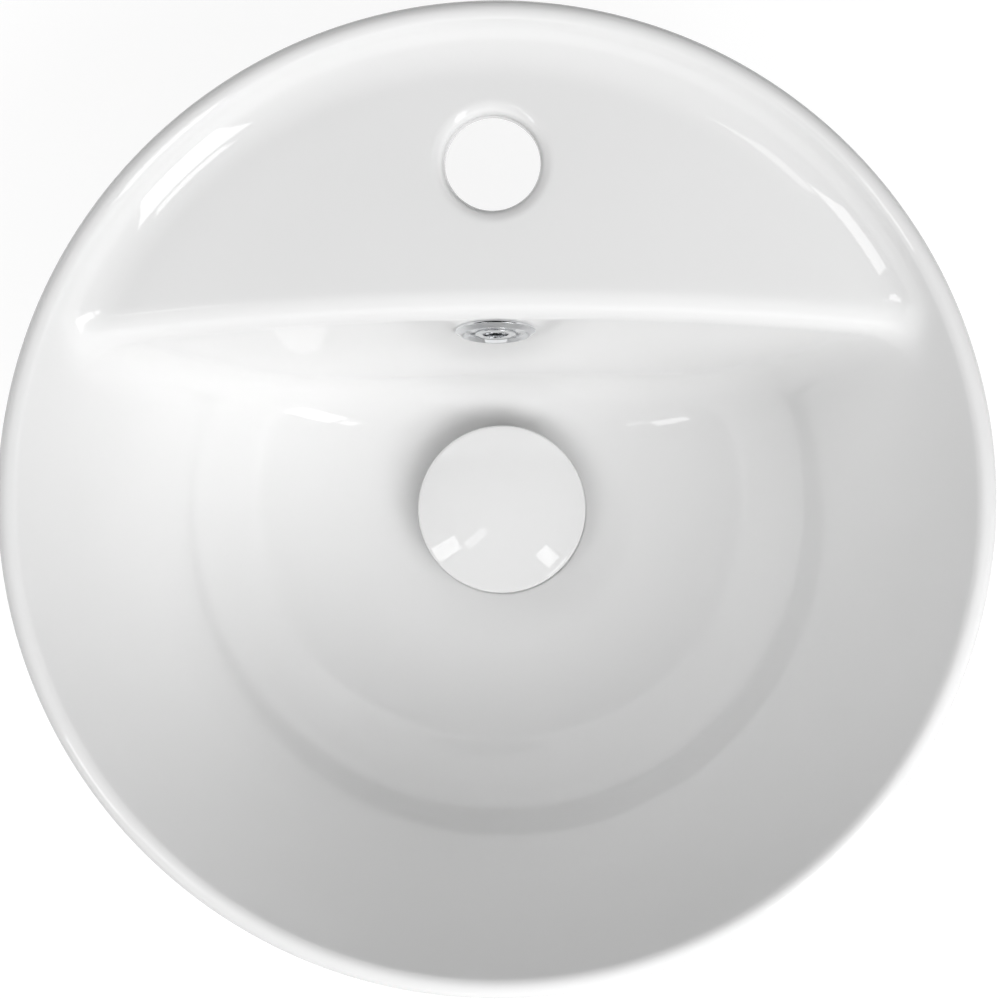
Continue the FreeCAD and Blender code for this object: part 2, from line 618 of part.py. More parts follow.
def make_plunger():
    """Return the stem with its toothed crown, its upper pin and the lower pin that guides the rotor."""
    crown_radius = BORE_RADIUS - RUNNING_GAP
    stem = rod(STEM_RADIUS, CROWN_TOP, CARRIER_BOTTOM)
    upper = rod(PIN_RADIUS, CARRIER_BOTTOM, CARRIER_BOTTOM + UPPER_PIN_LENGTH - FIT_GAP)
    crown = rod(crown_radius, CROWN_BOTTOM, CROWN_TOP)
    groove_floor = RIB_TIP_RADIUS - RUNNING_GAP
    groove_width = half_pair(GUIDE_RIB_WIDTH + 2 * RUNNING_GAP)
    groove = block((groove_floor, BORE_RADIUS), groove_width, (CROWN_BOTTOM, CROWN_TOP))
    crown = crown.cut(ring_of(groove, GUIDE_RIBS).Solids)
    gaps = ring_of(tooth_gap(crown_radius, CROWN_BOTTOM + TOOTH_DEPTH, -TOOTH_DEPTH), ROTOR_TEETH)
    crown = crown.cut(gaps.Solids)
    lower = rod(PIN_RADIUS, CROWN_BOTTOM - LOWER_PIN_LENGTH, CROWN_TOP)
    return stem.fuse([upper, crown, lower]).removeSplitter()


def half_pair(width):
    """Return the two ends of a width that is centred on zero."""
    return (-width / 2, width / 2)


def make_ratchet_rotor():
    """Return the toothed rotor that turns a step at each press and holds the cap down."""
    outer = RIB_TIP_RADIUS - RUNNING_GAP
    body = tube(outer, PIN_RADIUS + FIT_GAP, ROTOR_BOTTOM, ROTOR_TOP)
    gaps = ring_of(tooth_gap(outer, ROTOR_TOP - TOOTH_DEPTH, TOOTH_DEPTH), ROTOR_TEETH)
    return body.cut(gaps.Solids)


def make_spring_washer():
    """Return the thin steel washer between the spring and the rotor."""
    return tube(SPRING_WASHER_RADIUS, PIN_RADIUS + FIT_GAP, SPRING_TOP, SPRING_TOP + SPRING_WASHER_THICKNESS)


def bent(start, apex, end):
    """Return the arc that leaves its start towards an apex and reaches its end from there."""
    chord_middle = (start + end) / 2
    half_chord = (end - start).Length / 2
    rise = (apex - chord_middle).Length
    radius = half_chord * (apex - start).Length / rise
    bulge = radius - math.sqrt(radius ** 2 - half_chord ** 2)
    middle = chord_middle + (apex - chord_middle) * (bulge / rise)
    return Part.Arc(start, middle, end).toShape()


def biarc(start, start_way, end, end_way):
    """Return two arcs that join two points and keep the directions given there."""
    span = end - start
    both = start_way + end_way
    square = 2 * (1 - start_way.dot(end_way))
    reach = (math.sqrt(span.dot(both) ** 2 + square * span.dot(span)) - span.dot(both)) / square
    first, last = start + start_way * reach, end - end_way * reach
    middle = (first + last) / 2
    return [bent(start, first, middle), bent(middle, last, end)]


def helix_point(turn, bottom, top):
    """Return the point of the spring's centre line after some turns, and its direction there."""
    angle = 2 * math.pi * turn
    climb = (top - bottom) / SPRING_TURNS
    point = Vector(math.cos(angle) * SPRING_RADIUS, math.sin(angle) * SPRING_RADIUS, bottom + climb * turn)
    way = Vector(-math.sin(angle) * SPRING_RADIUS, math.cos(angle) * SPRING_RADIUS, climb / (2 * math.pi))
    return point, way.normalize()


def make_plug_spring():
    """Return the coil spring that lifts the plunger, as one wire wound in quarter turns."""
    bottom = SPRING_BOTTOM + SPRING_WIRE / 2 + FIT_GAP
    top = SPRING_TOP - SPRING_WIRE / 2 - FIT_GAP
    quarters = 4 * SPRING_TURNS
    stops = [helix_point(index / 4, bottom, top) for index in range(quarters + 1)]
    arcs = []
    for (start, start_way), (end, end_way) in zip(stops, stops[1:]):
        arcs += biarc(start, start_way, end, end_way)
    start, way = stops[0]
    section = Part.Wire(Part.makeCircle(SPRING_WIRE / 2, start, way))
    gap = (top - bottom) / SPRING_TURNS - SPRING_WIRE
    print("least gap between the spring's turns", round(gap, 3))
    return Part.Wire(arcs).makePipeShell([section], True, False)


def make_plug_housing():
    """Return the tube that guides the plunger, with its floor and guide ribs."""
    inside = turned((0, HOUSING_BOTTOM + HOUSING_FLOOR), (BORE_RADIUS, HOUSING_BOTTOM + HOUSING_FLOOR),
                    (BORE_RADIUS, HOUSING_TOP), (0, HOUSING_TOP))
    housing = rod(HOUSING_RADIUS, HOUSING_BOTTOM, HOUSING_TOP).cut(inside)
    housing = housing.cut(rod(STUD_RADIUS + FIT_GAP, HOUSING_BOTTOM, HOUSING_BOTTOM + HOUSING_FLOOR))
    rib_bottom = CROWN_BOTTOM - PRESS_TRAVEL - RUNNING_GAP
    rib = block((RIB_TIP_RADIUS, HOUSING_RADIUS - HOUSING_WALL / 2), half_pair(GUIDE_RIB_WIDTH),
                (rib_bottom, HOUSING_TOP))
    return housing.fuse(ring_of(rib, GUIDE_RIBS).Solids).removeSplitter()


def make_mounting_stud():
    """Return the stud that screws the plug unit into the spider, with the flange the spring stands on."""
    flange_bottom = HOUSING_BOTTOM + HOUSING_FLOOR
    flange = rod(STUD_FLANGE_RADIUS, flange_bottom, flange_bottom + STUD_FLANGE_THICKNESS)
    return flange.fuse(rod(STUD_RADIUS, HOUSING_BOTTOM - STUD_LENGTH, flange_bottom)).removeSplitter()


def make_plug_bonnet():
    """Return the screwed cap of the housing, with the bore for the stem and the groove for its seal."""
    skirt_end = HOUSING_TOP - BONNET_SKIRT
    skirt_bore = HOUSING_RADIUS + FIT_GAP
    stem_bore = STEM_RADIUS + FIT_GAP
    bonnet = turned((skirt_bore, skirt_end), (BONNET_RADIUS, skirt_end), (BONNET_RADIUS, BONNET_TOP),
                    (stem_bore, BONNET_TOP), (stem_bore, HOUSING_TOP), (skirt_bore, HOUSING_TOP))
    bonnet = rounded(bonnet, BONNET_ROUND, (BONNET_RADIUS, BONNET_TOP))
    return bonnet.cut(tube(stem_bore + STEM_SEAL_WIRE + FIT_GAP, stem_bore, *seal_groove()))


def seal_groove():
    """Return the heights of the bottom and top of the groove for the stem seal."""
    middle = HOUSING_TOP + BONNET_THICKNESS / 2
    half = STEM_SEAL_WIRE / 2 + FIT_GAP
    return middle - half, middle + half


def make_stem_seal():
    """Return the rubber ring that seals the stem in the bonnet."""
    bottom, top = seal_groove()
    wire = STEM_SEAL_WIRE / 2
    return Part.makeTorus(STEM_RADIUS + FIT_GAP + wire, wire, Vector(0, 0, (bottom + top) / 2))


def make_waste_body():
    """Return the waste: flange, neck, threaded tube with overflow slots, and the spider inside it."""
    neck_end = FLANGE_BOTTOM - NECK_LENGTH
    body = turned((FUNNEL_TOP_RADIUS, FLANGE_TOP), (FLANGE_RADIUS, FLANGE_TOP),
                  (FLANGE_RADIUS, FLANGE_BOTTOM), (NECK_RADIUS, FLANGE_BOTTOM),
                  (NECK_RADIUS, neck_end), (TUBE_RADIUS, neck_end),
                  (TUBE_RADIUS, TUBE_END), (TUBE_BORE_RADIUS, TUBE_END),
                  (TUBE_BORE_RADIUS, FLANGE_TOP - FUNNEL_DEPTH))
    body = rounded(body, FLANGE_ROUND, (FLANGE_RADIUS, FLANGE_TOP), (FUNNEL_TOP_RADIUS, FLANGE_TOP))
    body = bevelled(body, TUBE_CHAMFER, (TUBE_RADIUS, TUBE_END))
    relief_top = NUT_TOP - NUT_HEIGHT
    body = body.cut(tube(TUBE_RADIUS + OVERRUN, TUBE_RADIUS - TUBE_RELIEF_DEPTH,
                         relief_top - TUBE_RELIEF_WIDTH, relief_top))
    slot_bottom = DUCT_FLOOR_HEIGHT + TUBE_SLOT_MARGIN
    slot_top = DUCT_FLOOR_HEIGHT + DUCT_HEIGHT - TUBE_SLOT_MARGIN
    slot = radial_block(TUBE_SLOT_WIDTH, NECK_RADIUS + OVERRUN, (slot_bottom, slot_top))
    body = body.cut(ring_of(slot, TUBE_SLOTS, FULL_TURN / TUBE_SLOTS).Solids)
    z_range = (SPIDER_TOP - SPIDER_HEIGHT, SPIDER_TOP)
    arm = radial_block(SPIDER_ARM_WIDTH, TUBE_RADIUS - TUBE_WALL / 2, z_range)
    arms = ring_of(arm, SPIDER_ARMS, FULL_TURN / SPIDER_ARMS / 4)
    spider = rod(SPIDER_HUB_RADIUS, *z_range).fuse(arms.Solids)
    return body.fuse(spider).cut(rod(STUD_RADIUS + FIT_GAP, *z_range)).removeSplitter()


def make_flange_gasket():
    """Return the flat ring between the flange and its seat in the bowl."""
    return tube(GASKET_RADIUS, NECK_RADIUS + RUNNING_GAP, SEAT_HEIGHT, FLANGE_BOTTOM)


def make_lower_seal():
    """Return the stepped rubber seal that the nut presses up into the waste hole."""
    bore = TUBE_RADIUS + FIT_GAP
    tip_radius = WASTE_HOLE_RADIUS - RUNNING_GAP
    return turned((bore, SEAL_SEAT), (LOWER_SEAL_RADIUS, SEAL_SEAT), (LOWER_SEAL_RADIUS, BOSS_UNDERSIDE),
                  (tip_radius, BOSS_UNDERSIDE), (tip_radius, BOSS_UNDERSIDE + LOWER_SEAL_TIP),
                  (bore, BOSS_UNDERSIDE + LOWER_SEAL_TIP))


def make_slip_washer():
    """Return the washer that lets the nut turn without dragging the seal."""
    return tube(SLIP_WASHER_RADIUS, TUBE_RADIUS + FIT_GAP, NUT_TOP, SEAL_SEAT)


def make_lock_nut():
    """Return the six-sided nut that holds the waste, with its corners taken off at both faces."""
    corner = (TUBE_RADIUS + NUT_WALL) / math.cos(math.pi / NUT_SIDES)
    bottom = NUT_TOP - NUT_HEIGHT
    turns = [2 * math.pi * index / NUT_SIDES for index in range(NUT_SIDES + 1)]
    corners = [Vector(math.cos(turn) * corner, math.sin(turn) * corner, bottom) for turn in turns]
    hexagon = Part.makePolygon(corners)
    nut = Part.Face(hexagon).extrude(Vector(0, 0, NUT_HEIGHT))
    disc = bevelled(rod(corner, bottom, NUT_TOP), NUT_CHAMFER, (corner, bottom), (corner, NUT_TOP))
    return nut.common(disc).cut(rod(TUBE_RADIUS + FIT_GAP, bottom, NUT_TOP))


PIECES = {
    "basin_body": make_basin_body,
    "overflow_ring": make_overflow_ring,
    "overflow_clip": make_overflow_clip,
    "waste_cap": make_waste_cap,
    "cap_insert": make_cap_insert,
    "cap_carrier": make_cap_carrier,
    "cap_seal": make_cap_seal,
    "plunger": make_plunger,
    "ratchet_rotor": make_ratchet_rotor,
    "spring_washer": make_spring_washer,
    "plug_spring": make_plug_spring,
    "plug_housing": make_plug_housing,
    "mounting_stud": make_mounting_stud,
    "plug_bonnet": make_plug_bonnet,
    "stem_seal": make_stem_seal,
    "waste_body": make_waste_body,
    "flange_gasket": make_flange_gasket,
    "lower_seal": make_lower_seal,
    "slip_washer": make_slip_washer,
    "lock_nut": make_lock_nut,
}


def write_pieces():
    """Build every piece, print its size and write it to its own file."""
    os.makedirs("parts", exist_ok=True)
    for name, make in PIECES.items():
        shape = make()
        shape.exportStep("parts/" + name + ".step")
        print(name, "solids", len(shape.Solids), "valid", shape.isValid(), "volume", round(shape.Volume, 1))


write_pieces()
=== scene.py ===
"""Blender scene of a round countertop hand basin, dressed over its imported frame.

Lengths are in metres. The origin is on the axis of the waste, in the plane of the countertop. +Z points up,
+Y points to the tap ledge at the back and -Y to the person who washes their hands.
"""

import logging
import math
from collections.abc import Callable, Iterable, Sequence
from dataclasses import dataclass
from enum import Enum

import bmesh
import bpy
import numpy as np
from mathutils import Matrix, Vector


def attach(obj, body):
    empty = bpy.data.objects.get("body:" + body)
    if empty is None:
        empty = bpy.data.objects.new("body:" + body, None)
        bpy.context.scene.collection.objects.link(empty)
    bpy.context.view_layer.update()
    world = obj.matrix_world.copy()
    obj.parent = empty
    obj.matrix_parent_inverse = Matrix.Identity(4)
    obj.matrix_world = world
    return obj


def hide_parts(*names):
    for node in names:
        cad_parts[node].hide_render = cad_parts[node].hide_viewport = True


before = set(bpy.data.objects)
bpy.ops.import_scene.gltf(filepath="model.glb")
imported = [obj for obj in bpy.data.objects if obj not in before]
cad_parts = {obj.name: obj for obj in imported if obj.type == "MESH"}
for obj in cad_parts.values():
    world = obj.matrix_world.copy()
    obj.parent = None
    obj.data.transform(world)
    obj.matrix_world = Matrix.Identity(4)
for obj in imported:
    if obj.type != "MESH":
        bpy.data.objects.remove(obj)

LOG = logging.getLogger("hand_basin")
FULL_TURN = 2 * math.pi
SAME_PLACE = 1e-7
NOT_ZERO = 1e-9
TOOL_CREASE = 35.0
PIECE_CREASE = 40.0

Point = tuple[float, float]
Triple = tuple[float, float, float]
Socket = bpy.types.NodeSocket
BMesh = bmesh.types.BMesh


class Body(Enum):
    """The CAD bodies that the pieces ride on."""

    BASIN = "basin"
    PLUG = "plug"
    ROTOR = "rotor"


class Slot(Enum):
    """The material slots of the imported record."""

    GLAZE = "white_glaze"
    CHROME = "chrome"
    BRASS = "brass"
    STEEL = "steel"
    RUBBER = "black_rubber"
    WHITE_PLASTIC = "white_plastic"
    GREY_PLASTIC = "grey_plastic"


# --------------------------------------------------------------------------------------------------
# Finishes
# --------------------------------------------------------------------------------------------------


class NodeSheet:
    """A node tree, with short calls to add and join its nodes."""

    def __init__(self, owner: bpy.types.Material | bpy.types.World, output: str) -> None:
        """Start the owner's tree with only its output.

        Args:
            owner: The material or world that the tree belongs to.
            output: Blender's name for the type of its output node.
        """
        owner.use_nodes = True
        self.tree = owner.node_tree
        self.tree.nodes.clear()
        self.output = self.add(output)

    def add(self, kind: str, **values: object) -> bpy.types.Node:
        """Add a node.

        Args:
            kind: Blender's name for the node type.
            **values: Attributes of the node, such as its operation.

        Returns:
            The new node.
        """
        node = self.tree.nodes.new(kind)
        for name, value in values.items():
            setattr(node, name, value)
        return node

    def join(self, source: Socket, target: Socket) -> None:
        """Link an output socket to an input socket."""
        self.tree.links.new(source, target)

    def seen(self) -> Socket:
        """Return 1 for rays that show the surface: to the camera, in gloss and through glass."""
        path = self.add("ShaderNodeLightPath")
        share = path.outputs["Is Camera Ray"]
        for kind in ("Is Glossy Ray", "Is Transmission Ray"):
            higher = self.add("ShaderNodeMath", operation="MAXIMUM")
            self.join(share, higher.inputs[0])
            self.join(path.outputs[kind], higher.inputs[1])
            share = higher.outputs["Value"]
        return share


class MaterialSheet(NodeSheet):
    """A material's node tree, with short calls for its patterns and its shader."""

    MIDDLE = (0.3, 0.7)

    def __init__(self, name: str) -> None:
        """Start a material with only its output.

        Args:
            name: The material's name.
        """
        self.material = bpy.data.materials.new(name)
        super().__init__(self.material, "ShaderNodeOutputMaterial")

    def place(self) -> Socket:
        """Return the piece's own coordinates, in metres."""
        return self.add("ShaderNodeTexCoord").outputs["Object"]

    def noise(self, size: float, detail: float = 2.0, stretch: Sequence[float] = (1, 1, 1)) -> Socket:
        """Return a noise pattern.

        Args:
            size: The rough width of its patches in metres.
            detail: How many finer layers it has.
            stretch: How much longer its patches are along each axis.

        Returns:
            The pattern's value, from 0 to 1.
        """
        mapping = self.add("ShaderNodeMapping")
        mapping.inputs["Scale"].default_value = [1 / part for part in stretch]
        self.join(self.place(), mapping.inputs["Vector"])
        noise = self.add("ShaderNodeTexNoise")
        noise.inputs["Scale"].default_value = 1 / size
        noise.inputs["Detail"].default_value = detail
        self.join(mapping.outputs["Vector"], noise.inputs["Vector"])
        return noise.outputs["Fac"]

    def spread(self, source: Socket, low: float, high: float) -> Socket:
        """Return a pattern's middle values spread over a range.

        Args:
            source: The pattern's value.
            low: The result at the pattern's low end.
            high: The result at the pattern's high end.

        Returns:
            The new value.
        """
        node = self.add("ShaderNodeMapRange")
        ends = dict(zip(("From Min", "From Max", "To Min", "To Max"), (*self.MIDDLE, low, high)))
        for name, value in ends.items():
            node.inputs[name].default_value = value
        self.join(source, node.inputs["Value"])
        return node.outputs["Result"]

    def blend(self, share: Socket, first: Sequence[float], second: Sequence[float]) -> Socket:
        """Return a colour between two colours.

        Args:
            share: How far it is from the first to the second.
            first: The first colour.
            second: The second colour.

        Returns:
            The mixed colour.
        """
        node = self.add("ShaderNodeMix", data_type="RGBA")
        node.inputs["A"].default_value = (*first, 1)
        node.inputs["B"].default_value = (*second, 1)
        self.join(share, node.inputs["Factor"])
        return next(socket for socket in node.outputs if socket.type == "RGBA")

    def bump(self, height: Socket, depth: float, base: Socket | None = None) -> Socket:
        """Return a normal bent by a height pattern.

        Args:
            height: The pattern, from 0 to 1.
            depth: The height in metres that 1 stands for.
            base: A normal that is bent further, if there is one.

        Returns:
            The bent normal.
        """
        node = self.add("ShaderNodeBump")
        node.inputs["Strength"].default_value = 1.0
        node.inputs["Distance"].default_value = depth
        self.join(height, node.inputs["Height"])
        if base is not None:
            self.join(base, node.inputs["Normal"])
        return node.outputs["Normal"]

    def shader(self, **values: object) -> bpy.types.Node:
        """Add the surface shader and join it to the output.

        Args:
            **values: Values of its sockets, with underscores for spaces.

        Returns:
            The shader node.
        """
        node = self.add("ShaderNodeBsdfPrincipled")
        for name, value in values.items():
            node.inputs[name.replace("_", " ").title().replace("Ior", "IOR")].default_value = value
        self.join(node.outputs["BSDF"], self.output.inputs["Surface"])
        return node


@dataclass(frozen=True)
class Glaze:
    """White sanitary glaze over a fired body, left bare under the foot."""

    colour: Triple = (0.80, 0.80, 0.80)
    shade: Triple = (0.785, 0.786, 0.785)
    bare: Triple = (0.70, 0.685, 0.66)
    roughness: Point = (0.012, 0.028)
    bare_roughness: float = 0.75
    tone_size: float = 0.09
    gloss_size: float = 0.05
    bare_height: float = 0.0006
    bare_fade: Point = (0.6, -0.1)
    edge_size: float = 0.006
    ripple_size: float = 0.03
    ripple_depth: float = 0.00002
    peel_size: float = 0.004
    peel_depth: float = 0.0000015

    def material(self, name: str = "white_glaze") -> bpy.types.Material:
        """Return the material.

        Args:
            name: The material's name.

        Returns:
            The node material.
        """
        sheet = MaterialSheet(name)
        shader = sheet.shader(ior=1.52)
        tone = sheet.blend(sheet.spread(sheet.noise(self.tone_size), 0, 1), self.shade, self.colour)
        foot = self._bare_share(sheet)
        mix = sheet.add("ShaderNodeMix", data_type="RGBA")
        mix.inputs["B"].default_value = (*self.bare, 1)
        sheet.join(foot, mix.inputs["Factor"])
        sheet.join(tone, next(s for s in mix.inputs if s.type == "RGBA"))
        sheet.join(next(s for s in mix.outputs if s.type == "RGBA"), shader.inputs["Base Color"])
        gloss = sheet.add("ShaderNodeMix", data_type="FLOAT")
        gloss.inputs["B"].default_value = self.bare_roughness
        sheet.join(foot, gloss.inputs["Factor"])
        sheet.join(sheet.spread(sheet.noise(self.gloss_size, detail=3), *self.roughness), gloss.inputs["A"])
        sheet.join(gloss.outputs["Result"], shader.inputs["Roughness"])
        ripple = sheet.bump(sheet.noise(self.ripple_size, detail=1), self.ripple_depth)
        peel = sheet.bump(sheet.noise(self.peel_size, detail=2), self.peel_depth, ripple)
        sheet.join(peel, shader.inputs["Normal"])
        return sheet.material

    def _bare_share(self, sheet: MaterialSheet) -> Socket:
        """Return 1 where the foot is bare and 0 on the glaze, with an uneven edge between them."""
        split = sheet.add("ShaderNodeSeparateXYZ")
        sheet.join(sheet.place(), split.inputs["Vector"])
        edge = sheet.add("ShaderNodeMath", operation="MULTIPLY_ADD")
        edge.inputs[1].default_value = -self.bare_height
        sheet.join(sheet.noise(self.edge_size, detail=3), edge.inputs[0])
        sheet.join(split.outputs["Z"], edge.inputs[2])
        share = sheet.add("ShaderNodeMapRange")
        for end, part in zip(("From Min", "From Max"), self.bare_fade):
            share.inputs[end].default_value = self.bare_height * part
        sheet.join(edge.outputs["Value"], share.inputs["Value"])
        return share.outputs["Result"]


@dataclass(frozen=True)
class Metal:
    """A metal with fine wear: the way its roughness varies and how its surface was worked."""

    colour: Triple
    dark: Triple
    roughness: Point
    grain_depth: float = 0.0
    grain: Triple = (1.0, 1.0, 1.0)
    grain_size: float = 0.0004
    patch: float = 0.006

    def material(self, name: str) -> bpy.types.Material:
        """Return the material.

        Args:
            name: The material's name.

        Returns:
            The node material.
        """
        sheet = MaterialSheet(name)
        shader = sheet.shader(metallic=1.0)
        wear = sheet.noise(self.patch, detail=3)
        tone = sheet.blend(sheet.spread(wear, 0, 1), self.colour, self.dark)
        sheet.join(tone, shader.inputs["Base Color"])
        sheet.join(sheet.spread(wear, *self.roughness), shader.inputs["Roughness"])
        if self.grain_depth:
            lines = sheet.noise(self.grain_size, 2, self.grain)
            sheet.join(sheet.bump(lines, self.grain_depth), shader.inputs["Normal"])
        return sheet.material


@dataclass(frozen=True)
class Moulded:
    """A moulded rubber or plastic with a fine skin."""

    colour: Triple
    dust: Triple
    roughness: Point
    patch: float = 0.007
    skin_size: float = 0.0005
    skin_depth: float = 0.00002

    def material(self, name: str) -> bpy.types.Material:
        """Return the material.

        Args:
            name: The material's name.

        Returns:
            The node material.
        """
        sheet = MaterialSheet(name)
        shader = sheet.shader(ior=1.5)
        patches = sheet.noise(self.patch, detail=3)
        tone = sheet.blend(sheet.spread(patches, 0, 1), self.colour, self.dust)
        sheet.join(tone, shader.inputs["Base Color"])
        sheet.join(sheet.spread(patches, *self.roughness), shader.inputs["Roughness"])
        skin = sheet.noise(self.skin_size, detail=2)
        sheet.join(sheet.bump(skin, self.skin_depth), shader.inputs["Normal"])
        return sheet.material


@dataclass(frozen=True)
class Finishes:
    """Every finish of the basin, by material slot."""

    glaze: Glaze = Glaze()
    chrome: Metal = Metal((0.82, 0.83, 0.84), (0.76, 0.77, 0.79), (0.04, 0.09))
    brass: Metal = Metal((0.72, 0.56, 0.29), (0.60, 0.45, 0.22), (0.22, 0.34), 0.000012, (1, 1, 0.2))
    steel: Metal = Metal((0.66, 0.66, 0.66), (0.58, 0.58, 0.58), (0.2, 0.32), 0.00001, (1, 1, 0.15))
    rubber: Moulded = Moulded((0.035, 0.035, 0.036), (0.06, 0.06, 0.06), (0.6, 0.8))
    white_plastic: Moulded = Moulded((0.80, 0.80, 0.78), (0.76, 0.76, 0.74), (0.35, 0.5))
    grey_plastic: Moulded = Moulded((0.42, 0.43, 0.44), (0.37, 0.38, 0.39), (0.4, 0.55))

    def materials(self) -> dict[Slot, bpy.types.Material]:
        """Return the material of each slot."""
        return {
            Slot.GLAZE: self.glaze.material(),
            Slot.CHROME: self.chrome.material("chrome_plate"),
            Slot.BRASS: self.brass.material("turned_brass"),
            Slot.STEEL: self.steel.material("stainless_steel"),
            Slot.RUBBER: self.rubber.material("black_rubber"),
            Slot.WHITE_PLASTIC: self.white_plastic.material("white_plastic"),
            Slot.GREY_PLASTIC: self.grey_plastic.material("grey_plastic"),
        }


# --------------------------------------------------------------------------------------------------
# Mesh tools
# --------------------------------------------------------------------------------------------------


def arc(centre: Point, radius: float, start: float, end: float, steps: int) -> list[Point]:
    """Return points along an arc of a profile.

    Args:
        centre: The centre, as radius and height.
        radius: The arc's radius.
        start: The first angle in degrees, from the horizontal.
        end: The last angle in degrees.
        steps: How many pieces the arc is cut into.

    Returns:
        The points, both ends included.
    """
    angles = [math.radians(start + (end - start) * index / steps) for index in range(steps + 1)]
    return [(centre[0] + radius * math.cos(a), centre[1] + radius * math.sin(a)) for a in angles]


def straight(start: Point, end: Point, step: float) -> list[Point]:
    """Return points along a straight part of a profile.

    Args:
        start: The first point.
        end: The last point.
        step: The longest gap between two points.

    Returns:
        The points, both ends included.
    """
    count = max(1, math.ceil(math.dist(start, end) / step))
    return [tuple(a + (b - a) * index / count for a, b in zip(start, end)) for index in range(count + 1)]


def softened(corners: Sequence[Triple], steps: int = 4) -> list[Point]:
    """Return a closed profile whose corners are rounded.

    Args:
        corners: Each corner's radius and height, and the radius of its rounding, 0 for a sharp one.
        steps: How many pieces each rounding is cut into.

    Returns:
        The profile's points in order.
    """
    points = []
    for index, (x, z, size) in enumerate(corners):
        here = Vector((x, z))
        before = (Vector(corners[index - 1][:2]) - here).normalized()
        after = (Vector(corners[(index + 1) % len(corners)][:2]) - here).normalized()
        if not size:
            points.append((x, z))
            continue
        half = before.angle(after) / 2
        centre = here + (before + after).normalized() * (size / math.sin(half))
        first, last = (here + way * (size / math.tan(half)) - centre for way in (before, after))
        turn = first.angle_signed(last)
        for step in range(steps + 1):
            spoke = Matrix.Rotation(-turn * step / steps, 2) @ first
            points.append(tuple(centre + spoke))
    return points


def chained(profile: Iterable[Point]) -> list[Point]:
    """Return a profile without the points that repeat the one before."""
    points = []
    for point in profile:
        if not points or math.dist(point, points[-1]) > SAME_PLACE:
            points.append(point)
    if math.dist(points[0], points[-1]) < SAME_PLACE:
        points.pop()
    return points


def spun(profile: Iterable[Point], steps: int, closed: bool = True) -> BMesh:
    """Return the surface that a profile makes when it turns about the vertical axis.

    Args:
        profile: The profile's points, as radius and height.
        steps: How many pieces the full turn is cut into.
        closed: Whether the last point joins the first. An open profile ends on the axis.

    Returns:
        The mesh, with its doubles merged and its faces outwards.
    """
    mesh = bmesh.new()
    verts = [mesh.verts.new((radius, 0, height)) for radius, height in chained(profile)]
    pairs = zip(verts, verts[1:] + verts[:1]) if closed else zip(verts, verts[1:])
    edges = [mesh.edges.new(pair) for pair in pairs]
    bmesh.ops.spin(
        mesh, geom=verts + edges, cent=(0, 0, 0), axis=(0, 0, 1), angle=FULL_TURN, steps=steps,
        use_merge=True,
    )
    bmesh.ops.remove_doubles(mesh, verts=mesh.verts[:], dist=SAME_PLACE)
    bmesh.ops.recalc_face_normals(mesh, faces=mesh.faces[:])
    return mesh


def boxed(low: Sequence[float], high: Sequence[float]) -> BMesh:
    """Return a box between two corners.

    Args:
        low: The lowest corner.
        high: The highest corner.

    Returns:
        The mesh.
    """
    mesh = bmesh.new()
    bmesh.ops.create_cube(mesh, size=1)
    sizes = [b - a for a, b in zip(low, high)]
    middle = [(a + b) / 2 for a, b in zip(low, high)]
    bmesh.ops.scale(mesh, vec=sizes, verts=mesh.verts)
    bmesh.ops.translate(mesh, vec=middle, verts=mesh.verts)
    return mesh


def rod(radii: Point, heights: Point, sides: int) -> BMesh:
    """Return an upright rod or cone.

    Args:
        radii: Its radius at the bottom and at the top.
        heights: The heights of its two ends.
        sides: How many sides it has.

    Returns:
        The mesh.
    """
    mesh = bmesh.new()
    low, high = heights
    bmesh.ops.create_cone(
        mesh, cap_ends=True, segments=sides, radius1=radii[0], radius2=radii[1], depth=high - low
    )
    bmesh.ops.translate(mesh, vec=(0, 0, (high + low) / 2), verts=mesh.verts)
    return mesh


def sliced(mesh: BMesh, spot: Sequence[float], normal: Sequence[float], drop: bool = False) -> None:
    """Cut a mesh along a plane.

    Args:
        mesh: The mesh.
        spot: A point of the plane.
        normal: The way that the plane faces.
        drop: Whether the part in front of the plane goes.
    """
    geometry = mesh.verts[:] + mesh.edges[:] + mesh.faces[:]
    bmesh.ops.bisect_plane(mesh, geom=geometry, plane_co=spot, plane_no=normal, clear_outer=drop)


def bevelled(mesh: BMesh, size: float, segments: int, test: Callable[[bmesh.types.BMEdge], bool]) -> None:
    """Round some edges of a mesh.

    Args:
        mesh: The mesh.
        size: The width of the rounding.
        segments: How many faces it has.
        test: Tells whether an edge is rounded.
    """
    edges = [edge for edge in mesh.edges if test(edge)]
    bmesh.ops.bevel(
        mesh, geom=edges, offset=size, segments=segments, affect="EDGES", profile=0.5, material=-1,
        clamp_overlap=True,
    )


def as_object(mesh: BMesh, name: str, crease: float = TOOL_CREASE) -> bpy.types.Object:
    """Turn a mesh into an object at the origin.

    Args:
        mesh: The mesh, which is freed.
        name: The object's name.
        crease: The angle in degrees past which an edge stays sharp.

    Returns:
        The object.
    """
    data = bpy.data.meshes.new(name)
    mesh.to_mesh(data)
    mesh.free()
    data.shade_smooth()
    data.set_sharp_from_angle(angle=math.radians(crease))
    thing = bpy.data.objects.new(name, data)
    bpy.context.scene.collection.objects.link(thing)
    return thing


